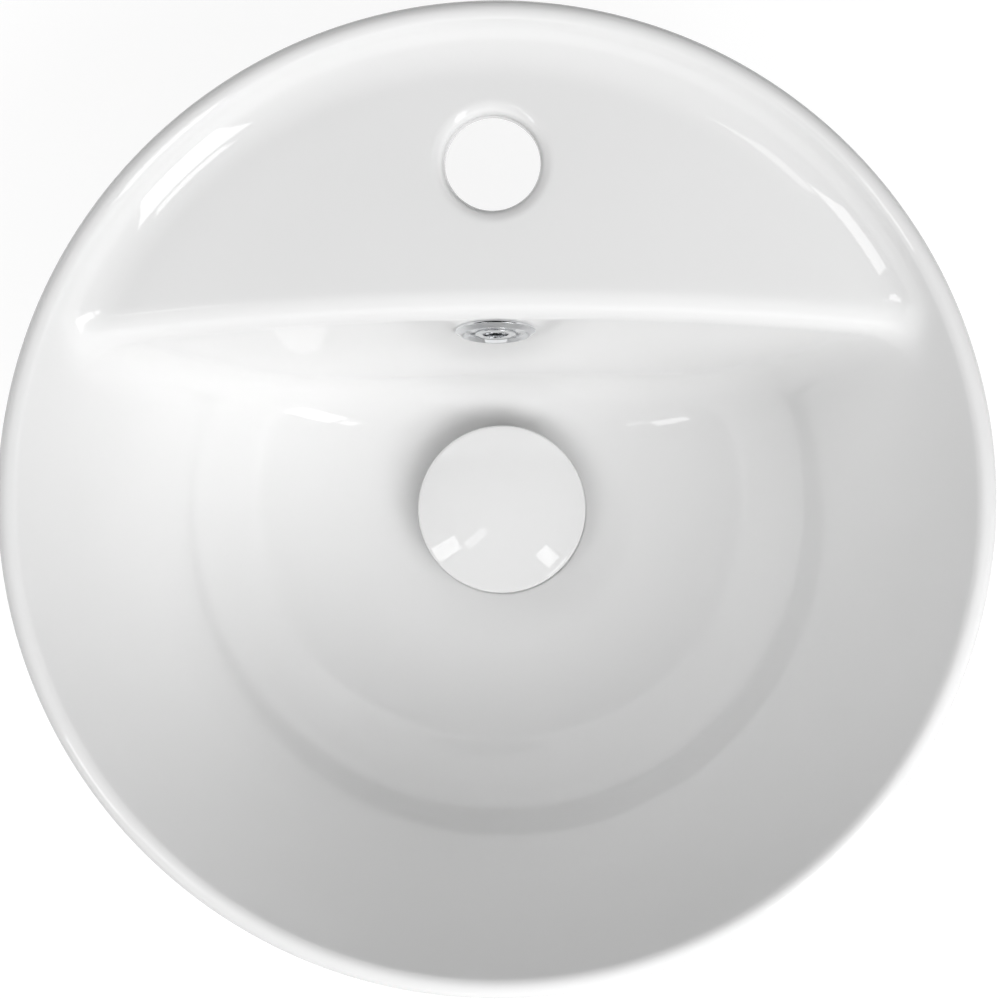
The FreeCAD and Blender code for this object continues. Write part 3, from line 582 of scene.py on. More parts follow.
def combined(base: bpy.types.Object, tool: bpy.types.Object, how: str, crease: float = TOOL_CREASE) -> None:
    """Cut one object with another or join them, and drop the second.

    Args:
        base: The object that changes.
        tool: The object that cuts it or joins it.
        how: Blender's name for the operation.
        crease: The angle in degrees past which an edge stays sharp.
    """
    change = base.modifiers.new("shape", "BOOLEAN")
    change.operation = how
    change.solver = "EXACT"
    change.object = tool
    graph = bpy.context.evaluated_depsgraph_get()
    made = bpy.data.meshes.new_from_object(base.evaluated_get(graph))
    base.modifiers.clear()
    old = base.data
    base.data = made
    bpy.data.meshes.remove(old)
    bpy.data.meshes.remove(tool.data)
    made.shade_smooth()
    made.set_sharp_from_angle(angle=math.radians(crease))


def dressed(
    piece: bpy.types.Object, material: bpy.types.Material, body: Body, slot: Slot, *nodes: str
) -> None:
    """Give a new piece its material and its place in the frame.

    Args:
        piece: The piece.
        material: Its material.
        body: The CAD body that it rides on.
        slot: The record's slot that its finish comes from; not used.
        *nodes: The CAD nodes that it stands for.
    """
    piece.data.materials.clear()
    piece.data.materials.append(material)
    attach(piece, body.value)
    if nodes:
        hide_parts(*nodes)
    LOG.info("%s: %d faces", piece.name, len(piece.data.polygons))


# --------------------------------------------------------------------------------------------------
# The glazed body
# --------------------------------------------------------------------------------------------------


@dataclass
class BasinShell:
    """The glazed body: a turned bowl with a tap ledge, hollow behind, on a foot ring."""

    rim_radius: float = 0.180
    height: float = 0.156
    bead: float = 0.0040
    inner_angle: float = 58.5
    outer_angle: float = 60.0
    floor_height: float = 0.028
    floor_angle: float = 2.5
    seat_reach: float = 0.033
    knuckle: float = 0.082
    ledge_height: float = 0.143
    ledge_edge_y: float = 0.06696
    ledge_edge_round: float = 0.011
    ledge_plan_radius: float = 1.325
    ledge_thickness: float = 0.012
    back_angle: float = 82.0
    back_thickness: float = 0.009
    blend_round: float = 0.022
    foot_round: float = 0.012
    foot_width: float = 0.01615
    recess_depth: float = 0.0185
    boss: float = 0.038
    boss_underside: float = 0.002
    waste_hole: float = 0.023
    seat: Point = (0.031, 0.0255)
    seat_rounds: Triple = (0.001, 0.0008, 0.0015)
    tap_y: float = 0.1228
    tap_radius: float = 0.0175
    tap_round: float = 0.0055
    tap_under_round: float = 0.0015
    overflow_drop: float = 0.0240
    overflow_hole: float = 0.011
    overflow_reach: Point = (-0.018, 0.004)
    shell: float = 0.008
    hollow_floor: float = 0.030
    hollow_round: float = 0.004
    hollow_cuts: tuple[float, int] = (0.12, 17)
    window_half: float = 0.042
    window_reach: Point = (-0.027, 0.025)
    window_round: float = 0.020
    duct_half: float = 0.017
    duct_depth: float = 0.013
    duct_wall: float = 0.008
    duct_floor: float = 0.008
    passage_start: float = 0.015
    passage_top: float = 0.018
    recess_rounds: Point = (0.006, 0.002)
    block_rises: Point = (0.004, 0.003)
    overrun: float = 0.01
    segments: int = 320
    step: float = 0.0011
    floor_step: float = 0.002
    outer_step: float = 0.012
    knuckle_steps: int = 60
    bead_steps: int = 16
    foot_steps: int = 8
    seat_steps: int = 5
    hollow_sides: int = 160
    hollow_steps: int = 4
    hollow_crease: float = 30.0
    window_steps: int = 8
    recess_sides: int = 144
    recess_steps: int = 6
    tap_sides: int = 128
    tap_steps: tuple[int, int] = (10, 5)
    overflow_sides: int = 96
    halvings: int = 40
    along_limits: Point = (-0.99, 0.995)
    over_top: float = 1e-6
    off_bowl: float = 1e-5
    eye: Triple = (0.0, -0.060, 0.280)

    @property
    def bead_centre(self) -> Point:
        """The centre of the rim bead's section."""
        return self.rim_radius - self.bead, self.height - self.bead

    @property
    def under_ledge(self) -> float:
        """The height of the ledge's underside."""
        return self.ledge_height - self.ledge_thickness

    def _leaning(self, angle: float, side: int) -> tuple[Vector, Vector]:
        """Return where the rim bead meets a wall, and the wall's upward direction.

        Args:
            angle: The wall's angle in degrees from the horizontal.
            side: 1 for the outside and -1 for the inside.

        Returns:
            The point and the direction, each as radius and height.
        """
        turn = math.radians(angle)
        normal = Vector((math.sin(turn), -math.cos(turn))) * side
        return Vector(self.bead_centre) + normal * self.bead, Vector((math.cos(turn), math.sin(turn)))

    def _bowl_line(self) -> tuple[Vector, Vector, Vector, float]:
        """Return the knuckle's start, end and centre, and the floor's height on the axis."""
        top, up = self._leaning(self.inner_angle, -1)
        slope = math.tan(math.radians(self.floor_angle))
        axis_height = self.floor_height - self.seat_reach * slope
        steep = up.y / up.x
        corner_radius = (top.y - axis_height - top.x * steep) / (slope - steep)
        corner = Vector((corner_radius, axis_height + corner_radius * slope))
        reach = self.knuckle * math.tan(math.radians(self.inner_angle - self.floor_angle) / 2)
        turn = math.radians(self.floor_angle)
        start = corner - Vector((math.cos(turn), math.sin(turn))) * reach
        centre = start + Vector((-math.sin(turn), math.cos(turn))) * self.knuckle
        return start, corner + up * reach, centre, axis_height

    def profile(self) -> list[Point]:
        """Return the closed profile of the plain bowl, from the waste hole round to its underside."""
        start, end, centre, axis_height = self._bowl_line()
        inner_top, _ = self._leaning(self.inner_angle, -1)
        outer_top, up = self._leaning(self.outer_angle, 1)
        low = outer_top - up * (outer_top.y / up.y)
        reach = self.foot_round * math.tan(math.radians(self.outer_angle) / 2)
        wall_start = low + up * reach
        floor_slope = math.tan(math.radians(self.floor_angle))
        seat_radius, seat_height = self.seat
        lip = seat_radius + (axis_height + seat_radius * floor_slope - seat_height) / (1 - floor_slope)
        lip_height = axis_height + lip * floor_slope
        seat = softened([
            (self.waste_hole, 0, 0), (self.waste_hole, seat_height, self.seat_rounds[0]),
            (seat_radius, seat_height, self.seat_rounds[1]), (lip, lip_height, self.seat_rounds[2]),
            (start.x, start.y, 0),
        ], self.seat_steps)[:-1]
        points = seat + straight(seat[-1], tuple(start), self.floor_step)
        points += arc(
            tuple(centre), self.knuckle, self.floor_angle - 90, self.inner_angle - 90, self.knuckle_steps
        )
        points += straight(tuple(end), tuple(inner_top), self.step)
        turns = (self.inner_angle + 90, self.outer_angle - 90)
        points += arc(self.bead_centre, self.bead, *turns, self.bead_steps)
        points += straight(tuple(outer_top), tuple(wall_start), self.outer_step)
        foot_centre = (low.x - reach, self.foot_round)
        points += arc(foot_centre, self.foot_round, self.outer_angle - 90, -90, self.foot_steps)
        return chained(points)

    def _bowl_gap(self, place: np.ndarray) -> tuple[np.ndarray, np.ndarray]:
        """Return how far points stand off the plain bowl's inside, and the way off it.

        Args:
            place: The points, one row each.

        Returns:
            The distances, positive inside the bowl, and the unit directions.
        """
        start, end, centre, _ = self._bowl_line()
        radius = np.hypot(place[:, 0], place[:, 1])
        around = place[:, :2] / np.maximum(radius, NOT_ZERO)[:, None]
        flat = np.stack([radius, place[:, 2]], axis=1)
        spoke = flat - np.array(centre)
        length = np.linalg.norm(spoke, axis=1)
        lean = [math.radians(angle) for angle in (self.floor_angle, self.inner_angle)]
        floor_way, wall_way = (np.array([-math.sin(a), math.cos(a)]) for a in lean)
        past_floor = -floor_way[0] * spoke[:, 1] + floor_way[1] * spoke[:, 0]
        past_wall = -spoke[:, 0] * wall_way[1] + spoke[:, 1] * wall_way[0]
        gap = self.knuckle - length
        way = -spoke / np.maximum(length, NOT_ZERO)[:, None]
        on_floor, on_wall = past_floor < 0, (past_floor >= 0) & (past_wall < 0)
        gap[on_floor] = ((flat - np.array(start)) @ floor_way)[on_floor]
        gap[on_wall] = ((flat - np.array(end)) @ wall_way)[on_wall]
        way[on_floor], way[on_wall] = floor_way, wall_way
        return gap, np.column_stack([around * way[:, :1], way[:, 1]])

    def _ledge_gap(self, place: np.ndarray) -> tuple[np.ndarray, np.ndarray]:
        """Return how far points stand off the ledge and the back wall, and the way off them.

        Args:
            place: The points, one row each.

        Returns:
            The distances, positive above the ledge and in front of the wall, and the unit directions.
        """
        turn = math.radians(self.back_angle)
        across = np.stack([place[:, 0], place[:, 1] - (self.ledge_edge_y - self.ledge_plan_radius)], axis=1)
        reach = np.linalg.norm(across, axis=1)
        front = self.ledge_plan_radius - reach
        rise = place[:, 2] - self.ledge_height
        wall_way = np.array([math.sin(turn), math.cos(turn)])
        flat = np.stack([front, rise], axis=1)
        size = self.ledge_edge_round
        centre = np.array([size * (wall_way[1] - 1) / wall_way[0], -size])
        spoke = flat - centre
        length = np.linalg.norm(spoke, axis=1)
        gap = length - size
        way = spoke / np.maximum(length, NOT_ZERO)[:, None]
        on_top = spoke[:, 0] < 0
        on_wall = ~on_top & (wall_way[0] * spoke[:, 1] - wall_way[1] * spoke[:, 0] < 0)
        gap[on_top] = rise[on_top]
        gap[on_wall] = (flat @ wall_way)[on_wall]
        way[on_top], way[on_wall] = (0.0, 1.0), wall_way
        outward = -across / reach[:, None]
        return gap, np.column_stack([outward * way[:, :1], way[:, 1]])

    def open_gap(self, place: np.ndarray) -> np.ndarray:
        """Return how far points stand off the finished inside, with the blend where bowl and ledge meet.

        Args:
            place: The points, one row each.

        Returns:
            The distances, positive in the open and negative in the glaze.
        """
        first, first_way = self._bowl_gap(place)
        second, second_way = self._ledge_gap(place)
        size = self.blend_round
        along = np.clip(np.einsum("ij,ij->i", first_way, second_way), *self.along_limits)
        a, b = first - size, second - size
        square = 1 - along ** 2
        near = (a - along * b) / square
        far = (b - along * a) / square
        corner = (near < 0) & (far < 0)
        spoke = np.sqrt(np.maximum(near ** 2 + far ** 2 + 2 * near * far * along, 0))
        return np.where(corner, size - spoke, np.minimum(first, second))

    def _raise_ledge(self, mesh: BMesh) -> None:
        """Move the bowl's inside up onto the ledge and the back wall."""
        inside = [v for v in mesh.verts if self._is_inside(v.co)]
        place = np.array([v.co[:] for v in inside])
        sunk = self.open_gap(place) < -SAME_PLACE
        place = place[sunk]
        to_eye = np.array(self.eye) - place
        low, high = np.zeros(len(place)), np.ones(len(place))
        for _ in range(self.halvings):
            middle = (low + high) / 2
            open_here = self.open_gap(place + to_eye * middle[:, None]) > 0
            high = np.where(open_here, middle, high)
            low = np.where(open_here, low, middle)
        made = place + to_eye * high[:, None]
        for vert, spot in zip([v for v, under in zip(inside, sunk) if under], made):
            vert.co = spot

    def _is_inside(self, spot: Vector) -> bool:
        """Tell whether a point of the plain bowl lies on its inside, between the seat and the rim bead."""
        top, _ = self._leaning(self.inner_angle, -1)
        radius = math.hypot(spot.x, spot.y)
        if radius < self.seat_reach or spot.z > top.y + self.over_top:
            return False
        return abs(float(self._bowl_gap(np.array([spot[:]]))[0][0])) < self.off_bowl

    def _wall_y(self, depth: float, height: float) -> float:
        """Return how far back the back wall lies at a height, pushed back by a depth."""
        turn = math.radians(self.back_angle)
        return self.ledge_edge_y + depth / math.sin(turn) - (self.ledge_height - height) / math.tan(turn)

    def _leaning_slab(self, half: float, depths: Point, heights: Point) -> BMesh:
        """Return a slab that lies between two depths behind the back wall.

        Args:
            half: Half its width.
            depths: The depths of its front and back.
            heights: The heights of its bottom and top.

        Returns:
            The mesh.
        """
        mesh = boxed((-half, 0, heights[0]), (half, 1, heights[1]))
        for vert in mesh.verts:
            vert.co.y = self._wall_y(depths[round(vert.co.y)], vert.co.z)
        return mesh

    def _hollow(self) -> bpy.types.Object:
        """Return the body that cuts the hollow behind the back wall."""
        outer_top, up = self._leaning(self.outer_angle, 1)
        inner = outer_top - Vector((up.y, -up.x)) * self.shell
        lean = up.x / up.y
        top = self.under_ledge
        heights = (self.hollow_floor, top)
        radii = [inner.x - (inner.y - height) * lean for height in heights]
        mesh = rod(tuple(radii), heights, self.hollow_sides)
        for vert in mesh.verts:
            vert.co.y += vert.co.x ** 2 / (2 * self.ledge_plan_radius)
        turn = math.radians(self.back_angle)
        spot = Vector((0, self._wall_y(self.back_thickness, top), top))
        sliced(mesh, spot, (0, -math.sin(turn), math.cos(turn)), drop=True)
        bmesh.ops.holes_fill(mesh, edges=[edge for edge in mesh.edges if edge.is_boundary])
        bmesh.ops.recalc_face_normals(mesh, faces=mesh.faces[:])
        least = math.radians(self.hollow_crease)
        bevelled(mesh, self.hollow_round, self.hollow_steps, lambda edge: edge.calc_face_angle(0) > least)
        reach, count = self.hollow_cuts
        for x in np.linspace(-reach, reach, count):
            sliced(mesh, (float(x), 0, 0), (1, 0, 0))
        for vert in mesh.verts:
            vert.co.y -= vert.co.x ** 2 / (2 * self.ledge_plan_radius)
        return as_object(mesh, "hollow_tool")

    def _recess(self) -> bpy.types.Object:
        """Return the body that cuts the recess inside the foot ring."""
        roof, drop = self.recess_depth, -self.overrun / 2
        outer_top, up = self._leaning(self.outer_angle, 1)
        foot = outer_top.x - up.x * outer_top.y / up.y - self.foot_width
        corners = [
            (foot, drop, 0), (foot, roof, self.recess_rounds[0]), (self.boss, roof, self.recess_rounds[1]),
            (self.boss, self.boss_underside, 0), (0.0, self.boss_underside, 0), (0.0, drop, 0),
        ]
        profile = softened(corners, self.recess_steps)[::-1]
        return as_object(spun(profile, self.recess_sides), "recess_tool")

    def _drill(self) -> bpy.types.Object:
        """Return the body that drills the tap hole and rounds both its ends."""
        top, under = self.ledge_height, self.under_ledge
        wide = self.tap_radius + self.tap_round
        low = self.tap_under_round
        points = [(0.0, top + self.overrun), (wide, top + self.overrun)]
        points += arc((wide, top - self.tap_round), self.tap_round, 90, 180, self.tap_steps[0])
        points += arc((self.tap_radius + low, under + low), low, 180, 270, self.tap_steps[1])
        points += [(self.tap_radius + low, under - self.overrun), (0.0, under - self.overrun)]
        mesh = spun(points, self.tap_sides, closed=False)
        bmesh.ops.translate(mesh, vec=(0, self.tap_y, 0), verts=mesh.verts)
        return as_object(mesh, "drill_tool")

    def overflow_matrix(self) -> Matrix:
        """Return the placement of the overflow ring: on the back wall, facing out of it."""
        height = self.ledge_height - self.overflow_drop
        turn = Matrix.Rotation(math.radians(self.back_angle), 4, "X")
        return Matrix.Translation((0, self._wall_y(0, height), height)) @ turn

    def _overflow_tool(self) -> bpy.types.Object:
        """Return the rod that cuts the overflow hole."""
        mesh = rod((self.overflow_hole, self.overflow_hole), self.overflow_reach, self.overflow_sides)
        bmesh.ops.transform(mesh, matrix=self.overflow_matrix(), verts=mesh.verts)
        return as_object(mesh, "overflow_tool")

    def _window(self) -> bpy.types.Object:
        """Return the body that opens the hollow to the back, under the tap hole."""
        front, back = (self.tap_y + reach for reach in self.window_reach)
        low, high = (-2 * self.overrun, self.under_ledge - self.hollow_round)
        mesh = boxed((-self.window_half, front, low), (self.window_half, back, high))
        upright = [edge for edge in mesh.edges if edge.verts[0].co.z != edge.verts[1].co.z]
        bevelled(mesh, self.window_round, self.window_steps, lambda edge: edge in upright)
        return as_object(mesh, "window_tool")

    def _duct(self) -> bpy.types.Object:
        """Return the body that cuts the overflow duct and its flat passage to the waste hole."""
        depths = (self.back_thickness, self.back_thickness + self.duct_depth)
        duct = self._leaning_slab(self.duct_half, depths, (self.duct_floor, self.under_ledge))
        passage = as_object(duct, "duct_tool")
        flat_end = self._wall_y(self.back_thickness + self.duct_depth / 2, self.duct_floor)
        low = (-self.duct_half, self.passage_start, self.duct_floor)
        flat = boxed(low, (self.duct_half, flat_end, self.passage_top))
        combined(passage, as_object(flat, "passage_tool"), "UNION")
        return passage

    def _cutter(self) -> bpy.types.Object:
        """Return one body that makes every cut, and that leaves the walls round the duct."""
        half = self.duct_half + self.duct_wall
        duct_back = self.back_thickness + self.duct_depth
        depths = (-2 * self.overrun, duct_back + self.duct_wall)
        low = self.boss_underside
        foot_top, upright_top = (self.recess_depth + rise for rise in self.block_rises)
        block = self._leaning_slab(half, depths, (low, self.ledge_height))
        foot = boxed((-half, 0.0, low), (half, self._wall_y(duct_back, low), foot_top))
        upright = self._leaning_slab(half, depths, (low, upright_top))
        cutter, recess = self._hollow(), self._recess()
        combined(cutter, as_object(block, "duct_block"), "DIFFERENCE")
        combined(recess, as_object(foot, "foot_block"), "DIFFERENCE")
        combined(recess, as_object(upright, "upright_block"), "DIFFERENCE")
        for tool in (self._window(), recess, self._duct(), self._overflow_tool(), self._drill()):
            combined(cutter, tool, "UNION")
        return cutter

    def build(self, glaze: bpy.types.Material) -> None:
        """Build and dress the body.

        Args:
            glaze: Its material.
        """
        mesh = spun(self.profile(), self.segments)
        self._raise_ledge(mesh)
        body = as_object(mesh, "glazed_body", PIECE_CREASE)
        combined(body, self._cutter(), "DIFFERENCE", PIECE_CREASE)
        dressed(body, glaze, Body.BASIN, Slot.GLAZE, "basin_body")


# --------------------------------------------------------------------------------------------------
# The waste cap and the overflow ring
# --------------------------------------------------------------------------------------------------


@dataclass
class WasteCap:
    """The glazed cap of the waste: a shallow dome over a hollow."""

    radius: float = 0.0332
    bottom: float = 0.0378
    edge_height: float = 0.0044
    dome_height: float = 0.0050
    edge_round: float = 0.0015
    foot_round: float = 0.0010
    rim_width: float = 0.0044
    inner_chamfer: float = 0.0004
    foot_chamfer: float = 0.0003
    cavity: float = 0.0033
    insert_radius: float = 0.00655
    insert_depth: float = 0.0030
    segments: int = 192
    foot_steps: int = 6
    edge_steps: int = 8
    dome_steps: int = 40

    def profile(self) -> list[Point]:
        """Return the cap's profile, from the hollow's middle round the edge to the top."""
        ball = (self.radius ** 2 + self.dome_height ** 2) / (2 * self.dome_height)
        shoulder = self.bottom + self.edge_height
        centre = shoulder + self.dome_height - ball
        roof = self.bottom + self.cavity
        inner = self.radius - self.rim_width
        reach = self.radius - self.edge_round
        middle = centre + math.sqrt((ball - self.edge_round) ** 2 - reach ** 2)
        tilt = math.degrees(math.atan2(middle - centre, reach))
        points = [(0.0, roof + self.insert_depth), (self.insert_radius, roof + self.insert_depth)]
        points += [(self.insert_radius, roof), (inner - self.inner_chamfer, roof)]
        points += [(inner, roof - self.inner_chamfer), (inner, self.bottom + self.foot_chamfer)]
        points += [(inner + self.foot_chamfer, self.bottom)]
        foot = (self.radius - self.foot_round, self.bottom + self.foot_round)
        points += arc(foot, self.foot_round, -90, 0, self.foot_steps)
        points += arc((reach, middle), self.edge_round, 0, tilt, self.edge_steps)
        points += arc((0.0, centre), ball, tilt, 90, self.dome_steps)
        return points

    def build(self, glaze: bpy.types.Material) -> None:
        """Build and dress the cap.

        Args:
            glaze: Its material.
        """
        mesh = spun(self.profile(), self.segments, closed=False)
        piece = as_object(mesh, "glazed_cap", PIECE_CREASE)
        dressed(piece, glaze, Body.PLUG, Slot.GLAZE, "waste_cap")


@dataclass
class OverflowRing:
    """The bright ring round the overflow hole, with its socket and the cross in its bore."""

    place: Matrix
    radius: float = 0.015
    thickness: float = 0.0024
    edge_thickness: float = 0.0009
    crest: float = 0.0124
    step_radius: float = 0.0112
    step_depth: float = 0.0013
    collar: float = 0.0077
    collar_height: float = 0.0022
    bore: float = 0.0046
    socket: float = 0.00935
    socket_wall: float = 0.0012
    socket_length: float = 0.0045
    arm_width: float = 0.0013
    arm_depth: float = 0.0020
    arm_sink: float = 0.0012
    arm_round: float = 0.0002
    hub: float = 0.0012
    hub_round: float = 0.0003
    hub_proud: float = 0.0002
    sharp: float = 0.0001
    slight: float = 0.0002
    rounded: float = 0.0004
    full: float = 0.0005
    socket_round: float = 0.0003
    standoff: float = 0.00015
    segments: int = 128
    round_steps: int = 5
    bevel_steps: int = 3
    hub_sides: int = 48

    def profile(self) -> list[Point]:
        """Return the ring's closed profile, in its own frame."""
        step = self.thickness - self.step_depth
        bore = self.socket - self.socket_wall
        return softened([
            (self.bore, 0, 0), (bore, 0, 0), (bore, -self.socket_length, self.socket_round),
            (self.socket, -self.socket_length, self.socket_round), (self.socket, 0, 0),
            (self.radius, 0, self.sharp), (self.radius, self.edge_thickness, self.rounded),
            (self.crest, self.thickness, self.full), (self.step_radius, step, self.slight),
            (self.collar, step, self.slight), (self.collar, self.collar_height, self.rounded),
            (self.bore, self.collar_height, self.rounded),
        ], self.round_steps)

    def _cross(self) -> BMesh:
        """Return the four arms and the hub in the ring's bore."""
        mesh = bmesh.new()
        middle = self.collar_height - self.arm_sink - self.arm_depth / 2
        for index in range(2):
            made = bmesh.ops.create_cube(mesh, size=1)["verts"]
            length = self.bore + self.collar
            bmesh.ops.scale(mesh, vec=(length, self.arm_width, self.arm_depth), verts=made)
            turn = Matrix.Rotation(FULL_TURN / 8 + index * FULL_TURN / 4, 3, "Z")
            bmesh.ops.rotate(mesh, matrix=turn, verts=made)
            bmesh.ops.translate(mesh, vec=(0, 0, middle), verts=made)
        bevelled(mesh, self.arm_round, self.bevel_steps, lambda edge: edge.calc_face_angle(0) > 1)
        return mesh

    def _hub(self) -> BMesh:
        """Return the round middle of the cross."""
        top = self.collar_height - self.arm_sink + self.hub_proud
        bottom = top - self.arm_depth - 2 * self.hub_proud
        mesh = rod((self.hub, self.hub), (bottom, top), self.hub_sides)
        bevelled(mesh, self.hub_round, self.bevel_steps, lambda edge: edge.calc_face_angle(0) > 1)
        return mesh

    def build(self, chrome: bpy.types.Material) -> None:
        """Build and dress the ring.

        Args:
            chrome: Its material.
        """
        piece = as_object(spun(self.profile(), self.segments), "bright_ring", PIECE_CREASE)
        for mesh, name in ((self._cross(), "cross"), (self._hub(), "hub")):
            combined(piece, as_object(mesh, name), "UNION", PIECE_CREASE)
        piece.data.transform(self.place @ Matrix.Translation((0, 0, self.standoff)))
        dressed(piece, chrome, Body.BASIN, Slot.CHROME, "overflow_ring")


# --------------------------------------------------------------------------------------------------
# The nodes that keep their CAD shape
# --------------------------------------------------------------------------------------------------


@dataclass(frozen=True)
class Fittings:
    """The finish of each CAD node that stays as it is."""

    slots: tuple[tuple[str, Slot], ...] = (
        ("overflow_clip", Slot.WHITE_PLASTIC),
        ("cap_insert", Slot.BRASS),
        ("cap_carrier", Slot.WHITE_PLASTIC),
        ("cap_seal", Slot.RUBBER),
        ("plunger", Slot.BRASS),
        ("ratchet_rotor", Slot.GREY_PLASTIC),
        ("spring_washer", Slot.STEEL),
        ("plug_spring", Slot.STEEL),
        ("plug_housing", Slot.WHITE_PLASTIC),
        ("mounting_stud", Slot.BRASS),
        ("plug_bonnet", Slot.WHITE_PLASTIC),
        ("stem_seal", Slot.RUBBER),
        ("waste_body", Slot.CHROME),
        ("flange_gasket", Slot.RUBBER),
        ("lower_seal", Slot.RUBBER),
        ("slip_washer", Slot.GREY_PLASTIC),
        ("lock_nut", Slot.BRASS),
    )

    def dress(self, materials: dict[Slot, bpy.types.Material]) -> None:
        """Give each node its material.

        Args:
            materials: The material of each slot.
        """
        for name, slot in self.slots:
            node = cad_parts[name]
            node.data.materials.clear()
            node.data.materials.append(materials[slot])
            LOG.info("%s: %s", name, slot.value)


# --------------------------------------------------------------------------------------------------
# The studio
# --------------------------------------------------------------------------------------------------


@dataclass(frozen=True)
class Lamp:
    """A soft rectangular lamp that faces the basin, and whether the gloss mirrors it."""

    name: str
    azimuth: float
    elevation: float
    distance: float
    size: Point
    watts: float
    shown: bool = False

    def build(self, target: Vector) -> None:
        """Build the lamp.

        Args:
            target: The point that it faces.
        """
        data = bpy.data.lights.new(self.name, "AREA")
        data.shape = "RECTANGLE"
        data.size, data.size_y = self.size
        data.energy = self.watts
        turn, rise = math.radians(self.azimuth), math.radians(self.elevation)
        back = Vector((math.sin(turn) * math.cos(rise), -math.cos(turn) * math.cos(rise), math.sin(rise)))
        lamp = bpy.data.objects.new(self.name, data)
        lamp.visible_glossy = self.shown
        bpy.context.scene.collection.objects.link(lamp)
        facing = (-back).to_track_quat("-Z", "Y").to_matrix().to_4x4()
        lamp.matrix_world = Matrix.Translation(target + back * self.distance) @ facing


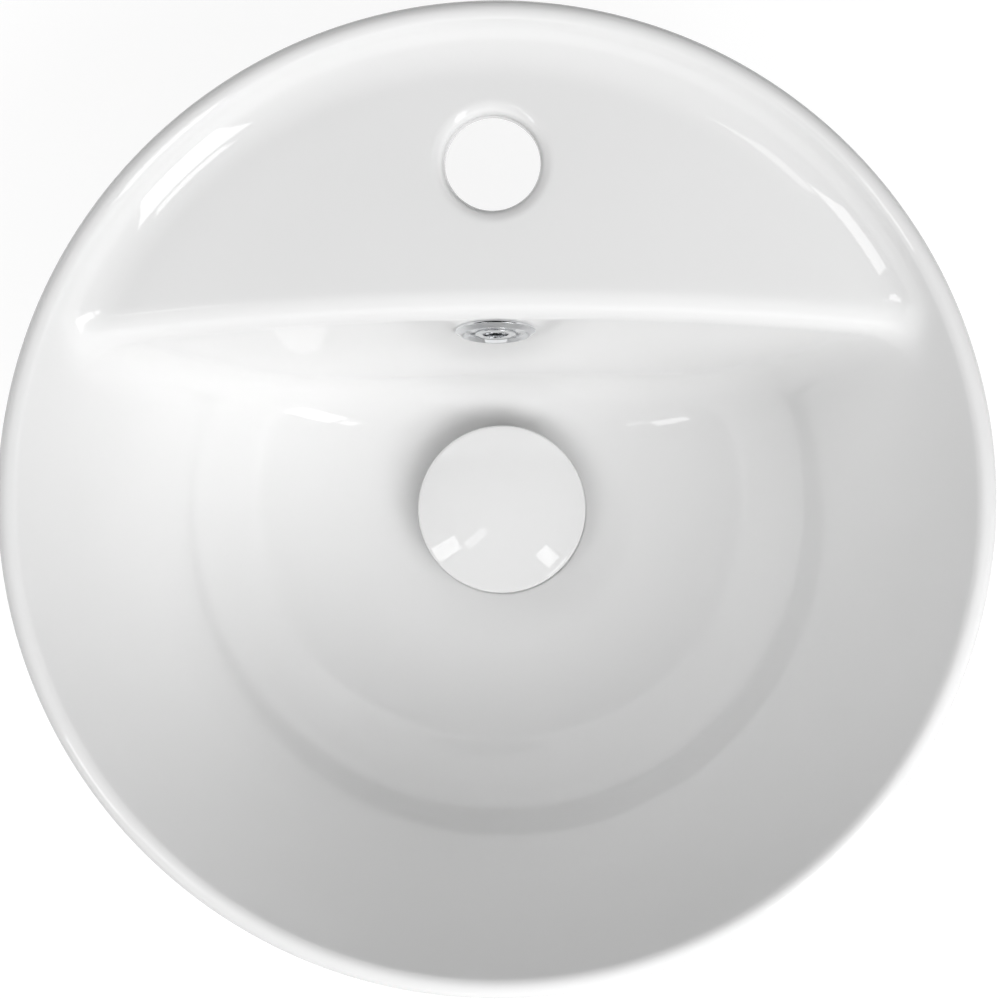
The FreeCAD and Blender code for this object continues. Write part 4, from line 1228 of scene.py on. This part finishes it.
@dataclass
class Studio:
    """A pale floor open for the waste, soft lamps, a white surround that greys overhead, and a camera."""

    floor_rings: tuple[float, ...] = (0.1, 0.3, 1.0, 6.0)
    floor_height: float = -0.0004
    floor_sides: int = 96
    opening: float = 0.045
    floor_colour: Triple = (0.5, 0.5, 0.5)
    floor_seen: Triple = (0.2, 0.2, 0.2)
    floor_glow: float = 0.87
    surround: float = 0.12
    overhead: float = 0.04
    fade: Point = (23.0, 31.0)
    lamps: tuple[Lamp, ...] = (
        Lamp("key_high_right", 45, 54, 1.6, (1.5, 0.8), 9.0),
        Lamp("key_low_right", 45, 28, 1.6, (1.2, 0.6), 8.0),
        Lamp("front", 0, 50, 1.6, (0.9, 0.7), 4.9),
        Lamp("front_left", -45, 54, 1.6, (0.9, 0.7), 3.1),
        Lamp("left", -115, 28, 1.6, (0.6, 0.6), 4.6),
        Lamp("right", 95, 28, 1.6, (0.6, 0.6), 1.4),
        Lamp("back", 180, 28, 1.6, (0.6, 0.6), 0.8),
        Lamp("tall_softbox", 44, 38, 1.6, (0.38, 0.94), 5.0, True),
        Lamp("softbox_right", 45, 62.5, 1.5, (0.175, 0.22), 0.5, True),
        Lamp("softbox_left", -60, 55, 1.5, (0.18, 0.55), 1.2, True),
        Lamp("strip_left", -50, 73, 1.5, (0.10, 0.30), 0.2, True),
    )
    target: Triple = (0.0, 0.0, 0.12)
    camera_place: Triple = (0.0257, -0.053, 1.256)
    lens_pixels: float = 3068.0
    frame_pixels: float = 1000.0
    clip: Point = (0.05, 50.0)
    rim_pixel: Point = (494.9, 495.2)
    rim_height: float = 0.156
    roll: float = 0.65

    def _floor(self) -> None:
        """Build the floor, which shows white to the camera and keeps the basin's shadow."""
        mesh = bmesh.new()
        ring = bmesh.ops.create_circle(mesh, radius=self.opening, segments=self.floor_sides)["verts"]
        edges = list({edge for vert in ring for edge in vert.link_edges})
        for reach in self.floor_rings:
            grown = bmesh.ops.extrude_edge_only(mesh, edges=edges)["geom"]
            verts = [item for item in grown if isinstance(item, bmesh.types.BMVert)]
            size = reach / math.hypot(verts[0].co.x, verts[0].co.y)
            bmesh.ops.scale(mesh, vec=(size, size, 1), verts=verts)
            edges = [item for item in grown if isinstance(item, bmesh.types.BMEdge)]
        mesh.normal_update()
        bmesh.ops.reverse_faces(mesh, faces=[face for face in mesh.faces if face.normal.z < 0])
        bmesh.ops.translate(mesh, vec=(0, 0, self.floor_height), verts=mesh.verts)
        floor = as_object(mesh, "floor")
        floor.data.materials.append(self._floor_material())

    def _floor_material(self) -> bpy.types.Material:
        """Return the floor's material."""
        sheet = MaterialSheet("pale_floor")
        seen = sheet.seen()
        matt = sheet.add("ShaderNodeBsdfDiffuse")
        sheet.join(sheet.blend(seen, self.floor_colour, self.floor_seen), matt.inputs["Color"])
        glow = sheet.add("ShaderNodeEmission")
        power = sheet.add("ShaderNodeMath", operation="MULTIPLY")
        power.inputs[1].default_value = self.floor_glow
        sheet.join(seen, power.inputs[0])
        sheet.join(power.outputs["Value"], glow.inputs["Strength"])
        both = sheet.add("ShaderNodeAddShader")
        sheet.join(matt.outputs["BSDF"], both.inputs[0])
        sheet.join(glow.outputs["Emission"], both.inputs[1])
        clear = sheet.add("ShaderNodeBsdfTransparent")
        side = sheet.add("ShaderNodeNewGeometry")
        mix = sheet.add("ShaderNodeMixShader")
        sheet.join(side.outputs["Backfacing"], mix.inputs["Fac"])
        sheet.join(both.outputs["Shader"], mix.inputs[1])
        sheet.join(clear.outputs["BSDF"], mix.inputs[2])
        sheet.join(mix.outputs["Shader"], sheet.output.inputs["Surface"])
        return sheet.material

    def _surround(self) -> None:
        """Build the surround: white to the camera and in gloss but greyer overhead, and a soft light."""
        world = bpy.data.worlds.new("surround")
        bpy.context.scene.world = world
        sheet = NodeSheet(world, "ShaderNodeOutputWorld")
        rise = sheet.add("ShaderNodeSeparateXYZ")
        sheet.join(sheet.add("ShaderNodeTexCoord").outputs["Generated"], rise.inputs["Vector"])
        fade = sheet.add("ShaderNodeMapRange", interpolation_type="SMOOTHSTEP")
        for end, angle in zip(("From Min", "From Max"), self.fade):
            fade.inputs[end].default_value = math.sin(math.radians(angle))
        fade.inputs["To Min"].default_value = 1.0
        fade.inputs["To Max"].default_value = self.overhead
        sheet.join(rise.outputs["Z"], fade.inputs["Value"])
        white, soft = (sheet.add("ShaderNodeBackground") for _ in range(2))
        sheet.join(fade.outputs["Result"], white.inputs["Strength"])
        soft.inputs["Strength"].default_value = self.surround
        mix = sheet.add("ShaderNodeMixShader")
        sheet.join(sheet.seen(), mix.inputs["Fac"])
        sheet.join(soft.outputs["Background"], mix.inputs[1])
        sheet.join(white.outputs["Background"], mix.inputs[2])
        for back in (white, soft):
            back.inputs["Color"].default_value = (1, 1, 1, 1)
        sheet.join(mix.outputs["Shader"], sheet.output.inputs["Surface"])

    def _camera(self) -> None:
        """Build the camera almost straight above the rim, a little to the front."""
        data = bpy.data.cameras.new("camera")
        data.lens = data.sensor_width * self.lens_pixels / self.frame_pixels
        data.clip_start, data.clip_end = self.clip
        camera = bpy.data.objects.new("camera", data)
        bpy.context.scene.collection.objects.link(camera)
        place = Vector(self.camera_place)
        away = Vector((0, 0, self.rim_height)) - place
        depth = -away.normalized()
        right = Vector((1, 0, 0))
        right = (right - depth * right.dot(depth)).normalized()
        up = depth.cross(right)
        facing = Matrix((right, up, depth)).transposed()
        facing = facing @ Matrix.Rotation(math.radians(-self.roll), 3, "Z")
        middle = self.frame_pixels / 2
        aside, down = ((pixel - middle) / self.lens_pixels for pixel in self.rim_pixel)
        nudge = Matrix.Rotation(aside, 3, "Y") @ Matrix.Rotation(down, 3, "X")
        camera.matrix_world = Matrix.Translation(place) @ (facing @ nudge).to_4x4()
        bpy.context.scene.camera = camera

    def build(self) -> None:
        """Build the floor, the surround, the lamps and the camera."""
        self._floor()
        self._surround()
        for lamp in self.lamps:
            lamp.build(Vector(self.target))
        self._camera()
        bpy.context.scene.view_settings.view_transform = "Standard"


def main() -> None:
    """Build every piece and the studio."""
    logging.basicConfig(level=logging.INFO, format="%(name)s: %(message)s")
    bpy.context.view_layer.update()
    materials = Finishes().materials()
    shell = BasinShell()
    shell.build(materials[Slot.GLAZE])
    WasteCap().build(materials[Slot.GLAZE])
    OverflowRing(shell.overflow_matrix()).build(materials[Slot.CHROME])
    Fittings().dress(materials)
    Studio().build()


if __name__ == "__main__":
    main()
